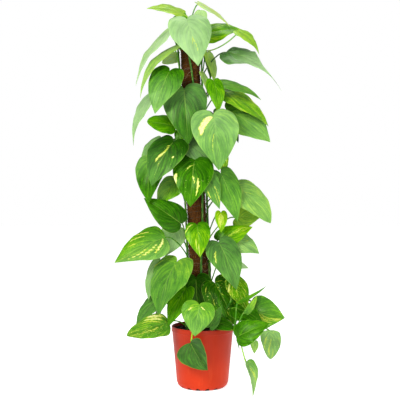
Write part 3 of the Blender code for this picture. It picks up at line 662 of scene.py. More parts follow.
def add_tube(body, route, radii, sides, slot, value):
    """A round bar with domed ends along a route, whose rings turn with the route and don't twist."""
    route = [Vector(p) for p in route]
    points, faces = [], []
    along = (route[1] - route[0]).normalized()
    across = along.orthogonal().normalized()
    last = len(route) - 1
    for i, (place, radius) in enumerate(zip(route, radii)):
        ahead = (route[min(i + 1, last)] - route[max(i - 1, 0)]).normalized()
        across = (across - across.dot(ahead) * ahead).normalized()
        over = ahead.cross(across)
        for k in range(sides):
            angle = math.tau * k / sides
            points.append(place + (across * math.cos(angle) + over * math.sin(angle)) * radius)
    for i in range(last):
        for k in range(sides):
            m = (k + 1) % sides
            faces.append((i * sides + k, i * sides + m, (i + 1) * sides + m, (i + 1) * sides + k))
    foot, head = len(points), len(points) + 1
    points.append(route[0] - (route[1] - route[0]).normalized() * radii[0] * 0.5)
    points.append(route[last] + (route[last] - route[last - 1]).normalized() * radii[last] * 0.8)
    for k in range(sides):
        m = (k + 1) % sides
        faces.append((foot, m, k))
        faces.append((head, last * sides + k, last * sides + m))
    body.add(points, faces, slot, [value] * len(points))


STEM_SIDES = 12
STALK_SIDES = 8
STALK_SPANS = 16
RIB_SPANS = 10
RIB_END = 0.9


def add_stalk(body, stem, leaf, blade, tone, rng):
    """A leaf stalk with a sheath at its foot and a knee under the blade; it runs on as the midrib."""
    node = nearest(stem, blade.base - Vector((0, 0, STALK_DROP)))
    reach = (blade.base - node).length
    out = Vector((blade.base.x - node.x, blade.base.y - node.y, 0))
    out = out.normalized() if out.length > 1 * MM else heading(0)
    root = node - out * STEM_RADIUS * STALK_ROOT
    leave = node + (UP * (0.30 + leaf.lift) + out * 0.14) * reach
    arrive = blade.base + (UP * (0.14 + leaf.lift) - out * 0.24) * reach
    under, normal = blade.midrib(0.02)
    route, radii = [], []
    for i in range(STALK_SPANS + 1):
        s = i / STALK_SPANS
        route.append(bezier(root, leave, arrive, under - normal * STALK_RADIUS * 0.8, s))
        sheath = 0.45 * math.exp(-((s / 0.12) ** 2))
        knee = 0.22 * math.exp(-(((s - 0.94) / 0.05) ** 2))
        radii.append(STALK_RADIUS * (0.82 + sheath + knee))
    for i in range(1, RIB_SPANS + 1):
        s = 0.02 + (RIB_END - 0.02) * i / RIB_SPANS
        place, normal = blade.midrib(s)
        radius = STALK_RADIUS * (0.62 * (1 - s) ** 1.3 + 0.1)
        route.append(place - normal * (radius * 0.55 + GROOVE * blade.width * (1 - s)))
        radii.append(radius)
    add_tube(body, route, radii, STALK_SIDES, STEM, (0, 0, tone, 0, 0.2, rng.random(), 0))
    return node


def add_stem(body, route, nodes, rng):
    """A round stem with a swollen ring at each node and a tapered growing tip."""
    fine, radii = [], []
    for a, b in zip(route, route[1:]):
        spans = max(1, round((b - a).length / (3 * MM)))
        fine += [a.lerp(b, k / spans) for k in range(spans)]
    fine.append(route[-1])
    count = len(fine)
    for i, place in enumerate(fine):
        swell = max([math.exp(-(((place - node).length / (4 * MM)) ** 2)) for node in nodes] or [0])
        taper = min(1.0, (count - 1 - i) / 6 + 0.12)
        radii.append(STEM_RADIUS * (0.97 - 0.25 * i / count) * taper * (1 + 0.22 * swell * taper))
    add_tube(body, fine, radii, STEM_SIDES, STEM, (0, 0, 0.2, 0, 0.25, rng.random(), 0))


ROOT_LOWEST = 0.2
ROOT_HIGHEST = 0.86
ROOT_RADIUS = 0.0008
ROOTS_LEFT_OUT = 0.35  # share of the places along the stem without a root


def add_aerial_roots(body, route, rng):
    """Short brown roots from the stem that bend round to the pole and cling to its coir."""
    for place in route:
        if not ROOT_LOWEST <= place.z <= ROOT_HIGHEST or rng.random() < ROOTS_LEFT_OUT:
            continue
        axis = pole_axis(place.z)
        out = place - axis
        out.z = 0
        angle = math.atan2(out.y, out.x)
        turn = rng.choice((-1, 1)) * rng.uniform(0.5, 1.5)
        drop = rng.uniform(-0.028, 0.006)
        points, radii = [], []
        for i in range(9):
            s = i / 8
            ease = smooth_step(s * 1.6)
            radius = out.length * (1 - ease) + (COIR_RADIUS + ROOT_RADIUS) * ease
            a = angle + turn * s
            level = place.z + drop * s + 0.002 * math.sin(5 * s + turn)
            middle = pole_axis(level)
            points.append(Vector((middle.x + radius * math.cos(a), middle.y + radius * math.sin(a), level)))
            radii.append(ROOT_RADIUS * (1 - 0.6 * s))
        add_tube(body, points, radii, 5, ROOT, (0, 0, 0.3, 0, 0, rng.random(), 0))


def leafy_piece(name, route, leaves, climbs, materials, rng):
    """One stem with its leaves, in place of the node of that name."""
    body = Body()
    nodes = []
    for i, leaf in enumerate(leaves):
        look = LOOKS.get(leaf.name) or BACK_LOOKS[i % len(BACK_LOOKS)]
        blade = add_blade(body, leaf, look, rng)
        tone = STALK_TONES.get(leaf.name, rng.uniform(0.3, 0.6))
        nodes.append(add_stalk(body, route, leaf, blade, tone, rng))
    add_stem(body, route, nodes, rng)
    if climbs:
        add_aerial_roots(body, route[4:], rng)
    piece = body.made(f"{name}_fine", materials)
    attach(piece, "root")
    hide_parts(name)


def plain_object(name, points, faces, made, sharp):
    mesh = bpy.data.meshes.new(name)
    mesh.from_pydata([tuple(p) for p in points], [], faces)
    mesh.materials.append(made)
    return linked(name, mesh, sharp)


def lathe(profile, steps):
    """Points and faces of a turned skin. Profile points on the axis become single points."""
    points, rings, faces = [], [], []
    for r, z in profile:
        if r < 1e-6:
            rings.append([len(points)] * steps)
            points.append(Vector((0, 0, z)))
            continue
        rings.append(list(range(len(points), len(points) + steps)))
        points += [
            Vector((r * math.cos(math.tau * k / steps), r * math.sin(math.tau * k / steps), z))
            for k in range(steps)
        ]
    for a, b in zip(rings, rings[1:]):
        for k in range(steps):
            m = (k + 1) % steps
            ring = list(dict.fromkeys((a[k], b[k], b[m], a[m])))
            if len(ring) > 2:
                faces.append(tuple(ring))
    return points, faces


def rounded(profile, radius, cuts=4):
    """Rounds each inner corner of a profile with an arc-like curve of about the given radius."""
    made = [profile[0]]
    for a, b, c in zip(profile, profile[1:], profile[2:]):
        ab, bc = math.dist(a, b), math.dist(b, c)
        cut = min(radius, ab * 0.45, bc * 0.45)
        start = [b[i] + (a[i] - b[i]) * cut / ab for i in (0, 1)]
        end = [b[i] + (c[i] - b[i]) * cut / bc for i in (0, 1)]
        for k in range(cuts + 1):
            s = k / cuts
            r = 1 - s
            made.append(tuple(start[i] * r**2 + 2 * b[i] * s * r + end[i] * s * s for i in (0, 1)))
    made.append(profile[-1])
    return made


def make_pot(made):
    """The thin moulded pot with rounded rim, band and foot, and arches round the foot."""
    band_z = POT_HEIGHT - POT_BAND_DEPTH
    wall_top = POT_RIM_RADIUS - POT_BAND_STEP
    floor = POT_FLOOR_LIFT + POT_WALL
    profile = [
        (0, floor),
        (POT_FOOT_RADIUS - POT_FOOT_WIDTH, floor),
        (POT_SHOULDER_RADIUS - POT_WALL, POT_SHOULDER_HEIGHT + POT_WALL / 2),
        (wall_top - POT_WALL, POT_HEIGHT),
        (POT_RIM_RADIUS, POT_HEIGHT),
        (POT_RIM_RADIUS, band_z),
        (wall_top, band_z - POT_BAND_STEP / 2),
        (POT_SHOULDER_RADIUS, POT_SHOULDER_HEIGHT),
        ((POT_SHOULDER_RADIUS + POT_FOOT_RADIUS) / 2 + 0.0015, POT_SHOULDER_HEIGHT * 0.35),
        (POT_FOOT_RADIUS, 0),
        (POT_FOOT_RADIUS - POT_FOOT_WIDTH, 0),
        (POT_FOOT_RADIUS - POT_FOOT_WIDTH - POT_WALL, POT_FLOOR_LIFT),
        (POT_BOSS_RADIUS + POT_WALL, POT_FLOOR_LIFT),
        (POT_BOSS_RADIUS, 0),
        (0, 0),
    ]
    points, faces = lathe(rounded(profile, POT_ROUNDING), POT_STEPS)
    pot = plain_object("pot_fine", points, [f[::-1] for f in faces], made, 40)
    cutters = bpy.data.collections.new("arches")
    bpy.context.scene.collection.children.link(cutters)
    inner, outer = POT_FOOT_RADIUS - 0.013, POT_SHOULDER_RADIUS + 0.010
    for i in range(POT_ARCHES):
        out = heading((i + 0.5) * 360 / POT_ARCHES)
        bm = bmesh.new()
        size = dict(radius1=POT_ARCH_RADIUS, radius2=POT_ARCH_RADIUS, depth=outer - inner)
        bmesh.ops.create_cone(bm, cap_ends=True, segments=24, **size)
        mesh = bpy.data.meshes.new("arch")
        bm.to_mesh(mesh)
        bm.free()
        arch = bpy.data.objects.new("arch", mesh)
        arch.rotation_mode = "QUATERNION"
        arch.rotation_quaternion = out.to_track_quat("Z", "Y")
        arch.location = out * (inner + outer) / 2
        cutters.objects.link(arch)
    bpy.context.view_layer.update()
    tool = pot.modifiers.new("arches", "BOOLEAN")
    tool.operation = "DIFFERENCE"
    tool.operand_type = "COLLECTION"
    tool.collection = cutters
    shape = bpy.data.meshes.new_from_object(pot.evaluated_get(bpy.context.evaluated_depsgraph_get()))
    pot.modifiers.clear()
    pot.data = shape
    for arch in list(cutters.objects):
        bpy.data.objects.remove(arch)
    bpy.data.collections.remove(cutters)
    shape.shade_smooth()
    shape.set_sharp_from_angle(angle=math.radians(40))
    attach(pot, "root")
    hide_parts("pot")


def along_pole():
    """Maps a point that stands on the upright axis to the leaning pole."""
    turn = (POLE_HEAD - POLE_FOOT).to_track_quat("Z", "Y")
    return lambda p: POLE_FOOT + turn @ p


COIR_RINGS = 220
COIR_STEPS = 56
COIR_ROUGHNESS = 0.0007
WOUND_FROM = 0.04  # height above the sleeve's foot where fibres and thread start
FIBRES = 1500
FIBRE_RADII = (0.00016, 0.0002, 0.0002, 0.00017, 0.0001)
THREAD_PITCH = 0.016
THREAD_RADIUS = 0.00035
THREAD_STEPS = 18  # points in each turn


def make_coir(coir, thread, rng):
    """The sleeve with an uneven skin and loose fibres, and the thread wound round it."""
    stand = along_pole()
    length = (POLE_HEAD - POLE_FOOT).length
    foot = COIR_FOOT - POLE_FOOT.z
    shoulder = length - COIR_TOP_ROUND
    side = [(COIR_RADIUS, foot + (shoulder - foot) * (1 - i / COIR_RINGS)) for i in range(COIR_RINGS + 1)]
    top = [(0, length)]
    for a in (0, 0.4, 0.8, 1.2):
        r = COIR_RADIUS - COIR_TOP_ROUND + COIR_TOP_ROUND * math.sin(a)
        top.append((r, length - COIR_TOP_ROUND * (1 - math.cos(a))))
    inner = [(COIR_BORE, foot), (COIR_BORE, length - COIR_TOP_THICK), (0, length - COIR_TOP_THICK)]
    points, faces = lathe(top + side + inner, COIR_STEPS)
    lumps = [(rng.uniform(0, math.tau), rng.uniform(0.004, 0.03), rng.uniform(1, 9)) for _ in range(12)]
    shaped = []
    for p in points:
        r = math.hypot(p.x, p.y)
        if r > COIR_RADIUS - COIR_TOP_ROUND - 1e-6 and p.z > foot + 0.002:
            angle = math.atan2(p.y, p.x)
            soft = sum(math.sin(round(k) * angle + p.z / step + phase) for phase, step, k in lumps)
            soft /= len(lumps)
            r_new = r + soft * COIR_ROUGHNESS * 2 + rng.uniform(-1, 0.6) * COIR_ROUGHNESS
            p = Vector((p.x * r_new / r, p.y * r_new / r, p.z))
        shaped.append(stand(p))
    sleeve = plain_object("pole_coir_fine", shaped, [f[::-1] for f in faces], coir, 70)
    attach(sleeve, "root")
    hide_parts("pole_coir")

    hairs = Body()
    for _ in range(FIBRES):
        angle = rng.uniform(0, math.tau)
        level = rng.uniform(foot + WOUND_FROM, length - 0.004)
        lean = rng.gauss(0, 0.5)
        reach = rng.uniform(0.010, 0.034)
        stands = rng.uniform(0.0004, 0.0034)
        route = []
        for i in range(5):
            s = i / 4
            a = angle + math.sin(lean) * reach * s / COIR_RADIUS + 0.05 * math.sin(4 * s + angle)
            z = min(level + math.cos(lean) * reach * (s - 0.5), length - 0.002)
            r = COIR_RADIUS - 0.0006 + stands * math.sin(math.pi * s) + (stands * 0.6 if i == 4 else 0)
            route.append(stand(Vector((r * math.cos(a), r * math.sin(a), z))))
        add_tube(hairs, route, FIBRE_RADII, 3, 0, (0, 0, 0, 0, 0, rng.random(), 0))
    fibres = hairs.made("coir_fibres", [coir], 180)
    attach(fibres, "root")

    wound = Body()
    turns = int((length - foot - 0.045) / THREAD_PITCH)
    route = []
    for i in range(turns * THREAD_STEPS + 1):
        a = math.tau * i / THREAD_STEPS
        z = foot + WOUND_FROM + THREAD_PITCH * i / THREAD_STEPS + 0.0012 * math.sin(a * 0.37)
        r = COIR_RADIUS + 0.0002
        route.append(stand(Vector((r * math.cos(a), r * math.sin(a), z))))
    add_tube(wound, route, [THREAD_RADIUS] * len(route), 5, 0, (0, 0, 0, 0, 0, 0.5, 0))
    cord = wound.made("coir_thread", [thread], 180)
    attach(cord, "root")


CRUMBS = 520
SOIL_RINGS = 26
SOIL_STEPS = 72
GAP = 0.0003  # between pieces that touch


def soil_level(share):
    """Height of the soil's top at a share of its radius."""
    return SOIL_TOP - (SOIL_TOP - SOIL_EDGE_TOP) * share**3


def make_soil(made, rng):
    """The soil with an uneven, crumbly top round the pole and the stems."""
    floor = POT_FLOOR_LIFT + POT_WALL + GAP
    slope = (POT_RIM_RADIUS - POT_BAND_STEP - POT_SHOULDER_RADIUS) / (POT_HEIGHT - POT_SHOULDER_HEIGHT)
    edge = POT_SHOULDER_RADIUS - POT_WALL - 2 * GAP
    rim = edge + slope * (SOIL_EDGE_TOP - POT_SHOULDER_HEIGHT) - GAP
    top = [(rim * i / SOIL_RINGS, soil_level(i / SOIL_RINGS)) for i in range(SOIL_RINGS + 1)]
    rest = [
        (edge, POT_SHOULDER_HEIGHT + POT_WALL),
        (POT_FOOT_RADIUS - POT_FOOT_WIDTH - 0.0005, floor),
        (0, floor),
    ]
    points, faces = lathe(top + rest, SOIL_STEPS)
    shaped = []
    for p in points:
        if p.z > SOIL_EDGE_TOP - 0.001:
            p = p + Vector((0, 0, rng.uniform(-0.0016, 0.0012)))
        shaped.append(p)
    count = len(shaped)
    for _ in range(CRUMBS):
        angle, away = rng.uniform(0, math.tau), math.sqrt(rng.uniform(0.12, 1)) * (rim - 0.002)
        size = rng.uniform(0.0009, 0.0026)
        middle = Vector((away * math.cos(angle), away * math.sin(angle), soil_level(away / rim)))
        middle.z += size * 0.3
        bm = bmesh.new()
        bmesh.ops.create_icosphere(bm, subdivisions=1, radius=size)
        start = len(shaped)
        for vertex in bm.verts:
            shaped.append(middle + vertex.co * rng.uniform(0.7, 1.25))
        faces += [tuple(start + v.index for v in f.verts) for f in bm.faces]
        bm.free()
    soil = plain_object("soil_fine", shaped, faces, made, 60)
    bm = bmesh.new()
    bm.from_mesh(soil.data)
    bmesh.ops.recalc_face_normals(bm, faces=bm.faces)
    bm.to_mesh(soil.data)
    bm.free()
    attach(soil, "root")
    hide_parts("soil")


class Nodes:
    """Short calls for building a material's nodes."""

    def __init__(self, name):
        self.material = bpy.data.materials.new(name)
        self.material.use_nodes = True
        self.tree = self.material.node_tree
        self.tree.nodes.clear()

    def new(self, kind, **settings):
        node = self.tree.nodes.new(f"ShaderNode{kind}")
        for key, value in settings.items():
            setattr(node, key, value)
        return node

    def join(self, source, target):
        self.tree.links.new(source, target)

    def put(self, node, name, value):
        """Sets an input, or links it where the value is another node's output."""
        socket = node.inputs[name]
        if isinstance(value, bpy.types.NodeSocket):
            self.join(value, socket)
        else:
            socket.default_value = value

    def value(self, attribute):
        return self.new("Attribute", attribute_type="GEOMETRY", attribute_name=attribute).outputs["Fac"]

    def math(self, operation, a, b=0.0):
        node = self.new("Math", operation=operation)
        self.put(node, 0, a)
        self.put(node, 1, b)
        return node.outputs[0]

    def plus(self, a, b):
        return self.math("ADD", a, b)

    def minus(self, a, b):
        return self.math("SUBTRACT", a, b)

    def times(self, a, b):
        return self.math("MULTIPLY", a, b)

    def ramp(self, fac, low, high):
        """0 up to low, 1 from high, and a smooth step between."""
        node = self.new("MapRange", interpolation_type="SMOOTHSTEP")
        for name, x in (("Value", fac), ("From Min", low), ("From Max", high)):
            self.put(node, name, x)
        return node.outputs["Result"]

    def mix(self, fac, a, b, blend="MIX"):
        node = self.new("Mix", data_type="RGBA", blend_type=blend)
        self.put(node, 0, fac)
        self.put(node, 6, a)
        self.put(node, 7, b)
        return node.outputs[2]

    def noise(self, vector, scale, detail=3.0, rough=0.5, seed=0.0):
        node = self.new("TexNoise", noise_dimensions="4D")
        self.put(node, "Vector", vector)
        for name, x in (("Scale", scale), ("Detail", detail), ("Roughness", rough), ("W", seed)):
            self.put(node, name, x)
        return node.outputs["Fac"]

    def place(self):
        return self.new("TexCoord").outputs["Object"]

    def vector(self, x, y, z):
        node = self.new("CombineXYZ")
        for i, a in enumerate((x, y, z)):
            self.put(node, i, a)
        return node.outputs[0]

    def scaled(self, vector, scale):
        node = self.new("VectorMath", operation="MULTIPLY")
        self.put(node, 0, vector)
        self.put(node, 1, scale)
        return node.outputs[0]

    def bump(self, height, strength, distance):
        node = self.new("Bump")
        self.put(node, "Height", height)
        self.put(node, "Strength", strength)
        self.put(node, "Distance", distance)
        return node.outputs["Normal"]

    def colours(self, fac, stops):
        node = self.new("ValToRGB")
        ramp = node.color_ramp
        while len(ramp.elements) < len(stops):
            ramp.elements.new(0.5)
        for element, (place, colour) in zip(ramp.elements, stops):
            element.position = place
            element.color = (*colour, 1)
        self.join(fac, node.inputs["Fac"])
        return node.outputs["Color"]

    def surface(self, colour, roughness, normal=None, **settings):
        shader = self.new("BsdfPrincipled")
        self.put(shader, "Base Color", colour)
        self.put(shader, "Roughness", roughness)
        if normal:
            self.join(normal, shader.inputs["Normal"])
        for name, x in settings.items():
            shader.inputs[name.replace("_", " ")].default_value = x
        return shader.outputs[0]

    def finish(self, shader):
        out = self.new("OutputMaterial")
        self.join(shader, out.inputs["Surface"])
        return self.material


GREENS = (  # from dark to yellow-green
    (0.0, (0.008, 0.050, 0.001)),
    (0.25, (0.019, 0.108, 0.001)),
    (0.5, (0.044, 0.195, 0.001)),
    (0.75, (0.108, 0.310, 0.002)),
    (1.0, (0.280, 0.480, 0.006)),
)
MINT = (0.42, 0.60, 0.31, 1)
CREAM = (0.82, 0.80, 0.38, 1)
GOLD = (0.50, 0.58, 0.05, 1)


def leaf_material(under):
    """The skin of a leaf's upper or under side: greens, veins with painted shade in their sunken bands, a
    pale haze that is partly painted sheen, marbling and light let through.
    """
    n = Nodes("leaf_under" if under else "leaf_top")
    t, v, seed = n.value("leaf_t"), n.value("leaf_v"), n.value("seed")
    half = n.math("ABSOLUTE", v)
    shift = n.times(seed, 37.0)
    side = n.times(n.math("SIGN", v), 5.0)
    place = n.place()
    # each line of equal course is one side vein's
    course = n.minus(t, n.times(half, VEIN_LEAN))
    warp = n.times(n.minus(n.noise(place, 60.0, 2.0, 0.5, shift), 0.5), 0.07)
    loose = n.plus(course, warp)

    def streaks(along, out, detail, rough, apart=0.0):
        """Noise drawn out along the side veins; apart keeps one such noise unlike another."""
        x = n.times(loose, along)
        y = n.plus(n.times(half, out), apart)
        return n.noise(n.vector(x, y, side), 1.0, detail, rough, shift)

    # tone, with broad, feathery and fine unevenness and paler and darker splashes along the veins
    broad = n.noise(place, 30.0, 3.0, 0.5, shift)
    fine = n.noise(place, 260.0, 3.0, 0.6, shift)
    feather = streaks(20.0, 1.6, 4.0, 0.62)
    splash = streaks(13.0, 3.0, 4.0, 0.66, 11.0)
    tone = n.value("tone")
    for uneven, share in ((broad, 0.6), (feather, 1.15), (fine, 0.35)):
        tone = n.plus(tone, n.times(n.minus(uneven, 0.5), share))
    tone = n.plus(tone, n.times(n.ramp(splash, 0.54, 0.60), 0.13))
    tone = n.minus(tone, n.times(n.ramp(splash, 0.47, 0.41), 0.16))
    wave = n.plus(n.times(course, float(SIDE_VEINS)), n.value("veins"))
    cosine = n.math("COSINE", n.times(wave, math.tau))
    fade = n.ramp(half, 1.0, 0.25)
    veins = n.times(n.ramp(cosine, 0.90, 1.0), fade)
    valley = n.times(n.ramp(cosine, -0.2, 0.9), fade)
    # painted shade: the tone is darker in the sunken bands along the side veins
    tone = n.minus(tone, n.times(valley, 0.12))
    green = n.colours(tone, GREENS)
    green = n.mix(n.times(veins, 0.20), green, (0.20, 0.38, 0.03, 1))
    green = n.mix(n.times(n.ramp(half, 0.05, 0.0), 0.4), green, (0.24, 0.42, 0.05, 1))
    # a paler rim along the edge: partly the leaf's own pale margin, partly a painted highlight along the
    # edge
    green = n.mix(n.times(n.ramp(half, 0.955, 0.995), 0.35), green, (0.22, 0.38, 0.05, 1))
    # pale towards mint: partly the leaf's own paleness, partly painted sheen and glare, broken up by noise
    haze = n.plus(n.times(broad, 0.5), n.times(feather, 0.5))
    haze = n.plus(n.times(n.ramp(haze, 0.38, 0.60), 0.3), 0.7)
    green = n.mix(n.times(n.value("pale"), haze), green, MINT)
    # marbling, in long flecks and small ones
    field = n.times(streaks(20.0, 2.4, 4.0, 0.62, 3.0), 0.66)
    field = n.plus(field, n.times(streaks(60.0, 9.0, 3.0, 0.6, 7.0), 0.34))
    reach = n.minus(0.80, n.times(n.value("marble"), 0.52))
    beyond = n.minus(field, reach)
    marbled = n.ramp(beyond, -0.01, 0.05)
    patch = n.mix(n.ramp(beyond, 0.05, 0.22), GOLD, CREAM)
    green = n.mix(n.times(marbled, 0.92), green, patch)
    dots = n.minus(n.noise(place, 340.0, 1.0, 0.5, shift), 0.79)
    dots = n.plus(dots, n.times(n.value("marble"), 0.24))
    green = n.mix(n.times(n.ramp(dots, 0.0, 0.03), 0.75), green, (0.42, 0.56, 0.12, 1))
    if under:
        green = n.mix(0.25, green, (0.18, 0.36, 0.07, 1))
    relief = n.plus(n.times(fine, 0.2), n.times(feather, 0.5))
    relief = n.minus(relief, n.times(valley, 0.5))
    normal = n.bump(relief, 0.35 if not under else 0.5, 0.0006)
    rough = n.plus(0.50 if under else 0.33, n.times(n.minus(fine, 0.5), 0.22))
    skin = n.surface(
        green, rough, normal, IOR=1.4, Specular_IOR_Level=0.2, Specular_Tint=(0.6, 1.0, 0.2, 1),
        Coat_Weight=0.0 if under else 0.04, Coat_Roughness=0.2,
    )
    glow = n.new("BsdfTranslucent")
    lit = n.mix(1.0, green, (1.25, 1.15, 0.55, 1), "MULTIPLY")
    n.put(glow, "Color", lit)
    both = n.new("MixShader")
    n.put(both, 0, 0.25)
    n.join(skin, both.inputs[1])
    n.join(glow.outputs[0], both.inputs[2])
    return n.finish(both.outputs[0])


def stem_material():
    n = Nodes("stem_green")
    place = n.place()
    shift = n.times(n.value("seed"), 19.0)
    streak = n.noise(n.scaled(place, (520.0, 520.0, 60.0)), 1.0, 2.0, 0.5, shift)
    broad = n.noise(place, 40.0, 2.0, 0.5, shift)
    tone = n.plus(n.value("tone"), n.times(n.minus(broad, 0.5), 0.3))
    green = n.colours(tone, GREENS)
    green = n.mix(n.times(n.ramp(streak, 0.56, 0.66), 0.5), green, (0.38, 0.44, 0.10, 1))
    green = n.mix(n.times(n.ramp(broad, 0.58, 0.72), 0.35), green, (0.16, 0.13, 0.05, 1))
    return n.finish(n.surface(green, 0.42, n.bump(streak, 0.2, 0.0004), Specular_IOR_Level=0.2))


def root_material():
    n = Nodes("aerial_root")
    grain = n.noise(n.place(), 900.0, 3.0)
    colour = n.mix(grain, (0.045, 0.022, 0.010, 1), (0.20, 0.12, 0.055, 1))
    return n.finish(n.surface(colour, 0.85, n.bump(grain, 0.5, 0.0004)))


def coir_material():
    n = Nodes("coir")
    place = n.place()
    long = n.noise(n.scaled(place, (900.0, 900.0, 70.0)), 1.0, 4.0, 0.65)
    cross = n.noise(n.scaled(place, (300.0, 300.0, 700.0)), 1.0, 3.0, 0.6, 4.0)
    broad = n.noise(place, 45.0, 3.0, 0.6, 9.0)
    fibre = n.plus(n.times(long, 0.65), n.times(cross, 0.35))
    browns = ((0.38, (0.006, 0.003, 0.0005)), (0.53, (0.060, 0.020, 0.002)), (0.68, (0.26, 0.10, 0.018)))
    colour = n.colours(fibre, browns)
    colour = n.mix(n.times(n.ramp(broad, 0.5, 0.7), 0.6), colour, (0.02, 0.008, 0.003, 1))
    return n.finish(n.surface(colour, 0.93, n.bump(fibre, 1.0, 0.0025), Specular_IOR_Level=0.1))


def thread_material():
    n = Nodes("nylon_thread")
    twist = n.noise(n.place(), 1400.0, 2.0)
    colour = n.mix(twist, (0.010, 0.012, 0.010, 1), (0.05, 0.05, 0.04, 1))
    return n.finish(n.surface(colour, 0.55, n.bump(twist, 0.3, 0.0002)))


def soil_material():
    n = Nodes("potting_soil_dark")
    place = n.place()
    crumb = n.noise(place, 520.0, 5.0, 0.65)
    broad = n.noise(place, 90.0, 3.0, 0.5, 3.0)
    browns = ((0.35, (0.006, 0.004, 0.003)), (0.55, (0.026, 0.016, 0.010)), (0.75, (0.09, 0.055, 0.032)))
    colour = n.colours(crumb, browns)
    colour = n.mix(n.ramp(broad, 0.45, 0.65), colour, (0.012, 0.008, 0.006, 1))
    return n.finish(n.surface(colour, 0.95, n.bump(crumb, 1.0, 0.0022)))


def pot_material():
    n = Nodes("pot_plastic")
    place = n.place()
    broad = n.noise(place, 16.0, 3.0, 0.55)
    drawn = n.noise(n.scaled(place, (160.0, 160.0, 9.0)), 1.0, 3.0, 0.6, 5.0)
    grain = n.noise(place, 1500.0, 2.0, 0.5, 8.0)
    speck = n.noise(place, 420.0, 2.0, 0.5, 2.0)
    colour = n.mix(broad, (0.37, 0.020, 0.003, 1), (0.47, 0.032, 0.005, 1))
    colour = n.mix(n.times(n.ramp(drawn, 0.5, 0.75), 0.30), colour, (0.58, 0.070, 0.016, 1))
    # painted shade and light: the pot is darker over its upper part, where the leaves shade it, and lighter
    # low down, where the floor lights it
    split = n.new("SeparateXYZ")
    n.join(place, split.inputs[0])
    low = n.ramp(split.outputs["Z"], 0.10, 0.03)
    colour = n.mix(n.times(n.minus(1.0, low), 0.55), colour, (0.25, 0.014, 0.004, 1))
    colour = n.mix(n.times(n.ramp(speck, 0.68, 0.74), 0.5), colour, (0.22, 0.06, 0.03, 1))
    rough = n.plus(0.34, n.times(drawn, 0.20))
    height = n.plus(n.times(grain, 0.35), n.times(drawn, 0.65))
    normal = n.bump(height, 0.12, 0.0006)
    shine = dict(Specular_IOR_Level=0.1, Coat_Weight=0.03, Coat_Roughness=0.25)
    return n.finish(n.surface(colour, rough, normal, **shine))


def wood_material():
    n = Nodes("core_wood_grain")
    grain = n.noise(n.scaled(n.place(), (260.0, 260.0, 14.0)), 1.0, 4.0, 0.6)
    colour = n.mix(grain, (0.26, 0.15, 0.07, 1), (0.55, 0.38, 0.20, 1))
    return n.finish(n.surface(colour, 0.7, n.bump(grain, 0.3, 0.0008)))


def floor_material():
    n = Nodes("white_floor")
    soft = n.noise(n.place(), 3.0, 2.0)
    colour = n.mix(soft, (0.90, 0.90, 0.90, 1), (0.94, 0.94, 0.94, 1))
    away = n.new("VectorMath", operation="LENGTH")
    n.join(n.place(), away.inputs[0])
    open_floor = n.ramp(away.outputs["Value"], 0.058, 0.063)  # the floor under the pot is in its shadow
    glow = n.mix(open_floor, (0.02, 0.015, 0.01, 1), (1, 1, 1, 1))
    colour = n.mix(open_floor, (0.05, 0.03, 0.02, 1), colour)
    shader = n.surface(colour, 0.9, None, Emission_Strength=0.62)
    n.put(shader.node, "Emission Color", glow)
    return n.finish(shader)


def area_light(name, place, target, size, power):
    light = bpy.data.lights.new(name, "AREA")
    light.shape = "DISK"
    light.size = size
    light.energy = power
    obj = bpy.data.objects.new(name, light)
    obj.location = place
    obj.rotation_mode = "QUATERNION"
    obj.rotation_quaternion = (Vector(target) - Vector(place)).to_track_quat("-Z", "Y")
    bpy.context.scene.collection.objects.link(obj)


def studio_world():
    """White all round at eye level, dimmer overhead, so that the lamps model the leaves."""
    world = bpy.data.worlds.new("studio")
    world.use_nodes = True
    tree = world.node_tree
    place = tree.nodes.new("ShaderNodeTexCoord")
    split = tree.nodes.new("ShaderNodeSeparateXYZ")
    fall = tree.nodes.new("ShaderNodeMapRange")
    fall.interpolation_type = "SMOOTHSTEP"
    for name, x in (("From Min", 0.32), ("From Max", 0.70), ("To Min", 1.0), ("To Max", 0.30)):
        fall.inputs[name].default_value = x
    tree.links.new(place.outputs["Generated"], split.inputs[0])
    tree.links.new(split.outputs["Z"], fall.inputs["Value"])
    tree.links.new(fall.outputs["Result"], tree.nodes["Background"].inputs["Strength"])
    tree.nodes["Background"].inputs["Color"].default_value = (1, 1, 1, 1)
    return world


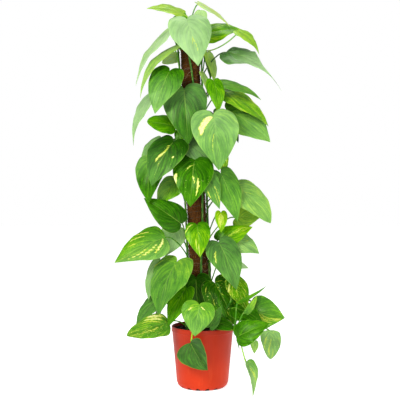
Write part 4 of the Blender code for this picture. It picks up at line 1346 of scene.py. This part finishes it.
EYE_ACROSS = -0.007
LENS = 66.2
SENSOR = 36
FLOOR_REACH = 12.0
FLOOR_DROP = 0.0005  # keeps the floor's face off the pot's underside
LAMPS = (  # name, place, the point that it shines at, size, watts
    ("key", (-1.1, -2.0, 1.7), (0, 0, 0.6), 0.9, 62),
    ("fill", (1.7, -1.7, 1.1), (0, 0, 0.5), 1.2, 20),
    ("crown", (0.1, 0.3, 2.3), (0, 0, 0.9), 0.6, 8),
    ("low", (0.3, -1.8, 0.25), (0, 0, 0.12), 0.9, 8),
)


def make_studio():
    """The camera of the photograph, a white floor, a white surround and soft lights."""
    scene = bpy.context.scene
    scene.view_settings.view_transform = "Standard"
    scene.world = studio_world()
    camera = bpy.data.cameras.new("camera")
    camera.lens = LENS
    camera.sensor_width = SENSOR
    eye = bpy.data.objects.new("camera", camera)
    eye.location = (EYE_ACROSS, -EYE_DISTANCE, EYE_HEIGHT)
    eye.rotation_euler = (math.pi / 2, 0, 0)
    scene.collection.objects.link(eye)
    scene.camera = eye
    mesh = bpy.data.meshes.new("floor")
    corners = [(x * FLOOR_REACH, y * FLOOR_REACH, 0) for x, y in ((-1, -1), (1, -1), (1, 1), (-1, 1))]
    mesh.from_pydata(corners, [], [(0, 1, 2, 3)])
    mesh.materials.append(floor_material())
    floor = bpy.data.objects.new("floor", mesh)
    floor.location.z = -FLOOR_DROP
    scene.collection.objects.link(floor)
    for lamp in LAMPS:
        area_light(*lamp)


def main():
    rng = random.Random(41)
    leaves = [leaf_material(False), leaf_material(True), stem_material(), root_material()]
    make_studio()
    make_pot(pot_material())
    make_soil(soil_material(), rng)
    make_coir(coir_material(), thread_material(), rng)
    core = frame["nodes"]["pole_core"]
    for i in range(len(core.data.materials)):
        core.data.materials[i] = wood_material()
    for name, vine in VINES.items():
        leafy_piece(name, vine_route(vine), vine.leaves, True, leaves, rng)
    for name, shoot in SHOOTS.items():
        leafy_piece(name, shoot_route(shoot), shoot.leaves, False, leaves, rng)


main()
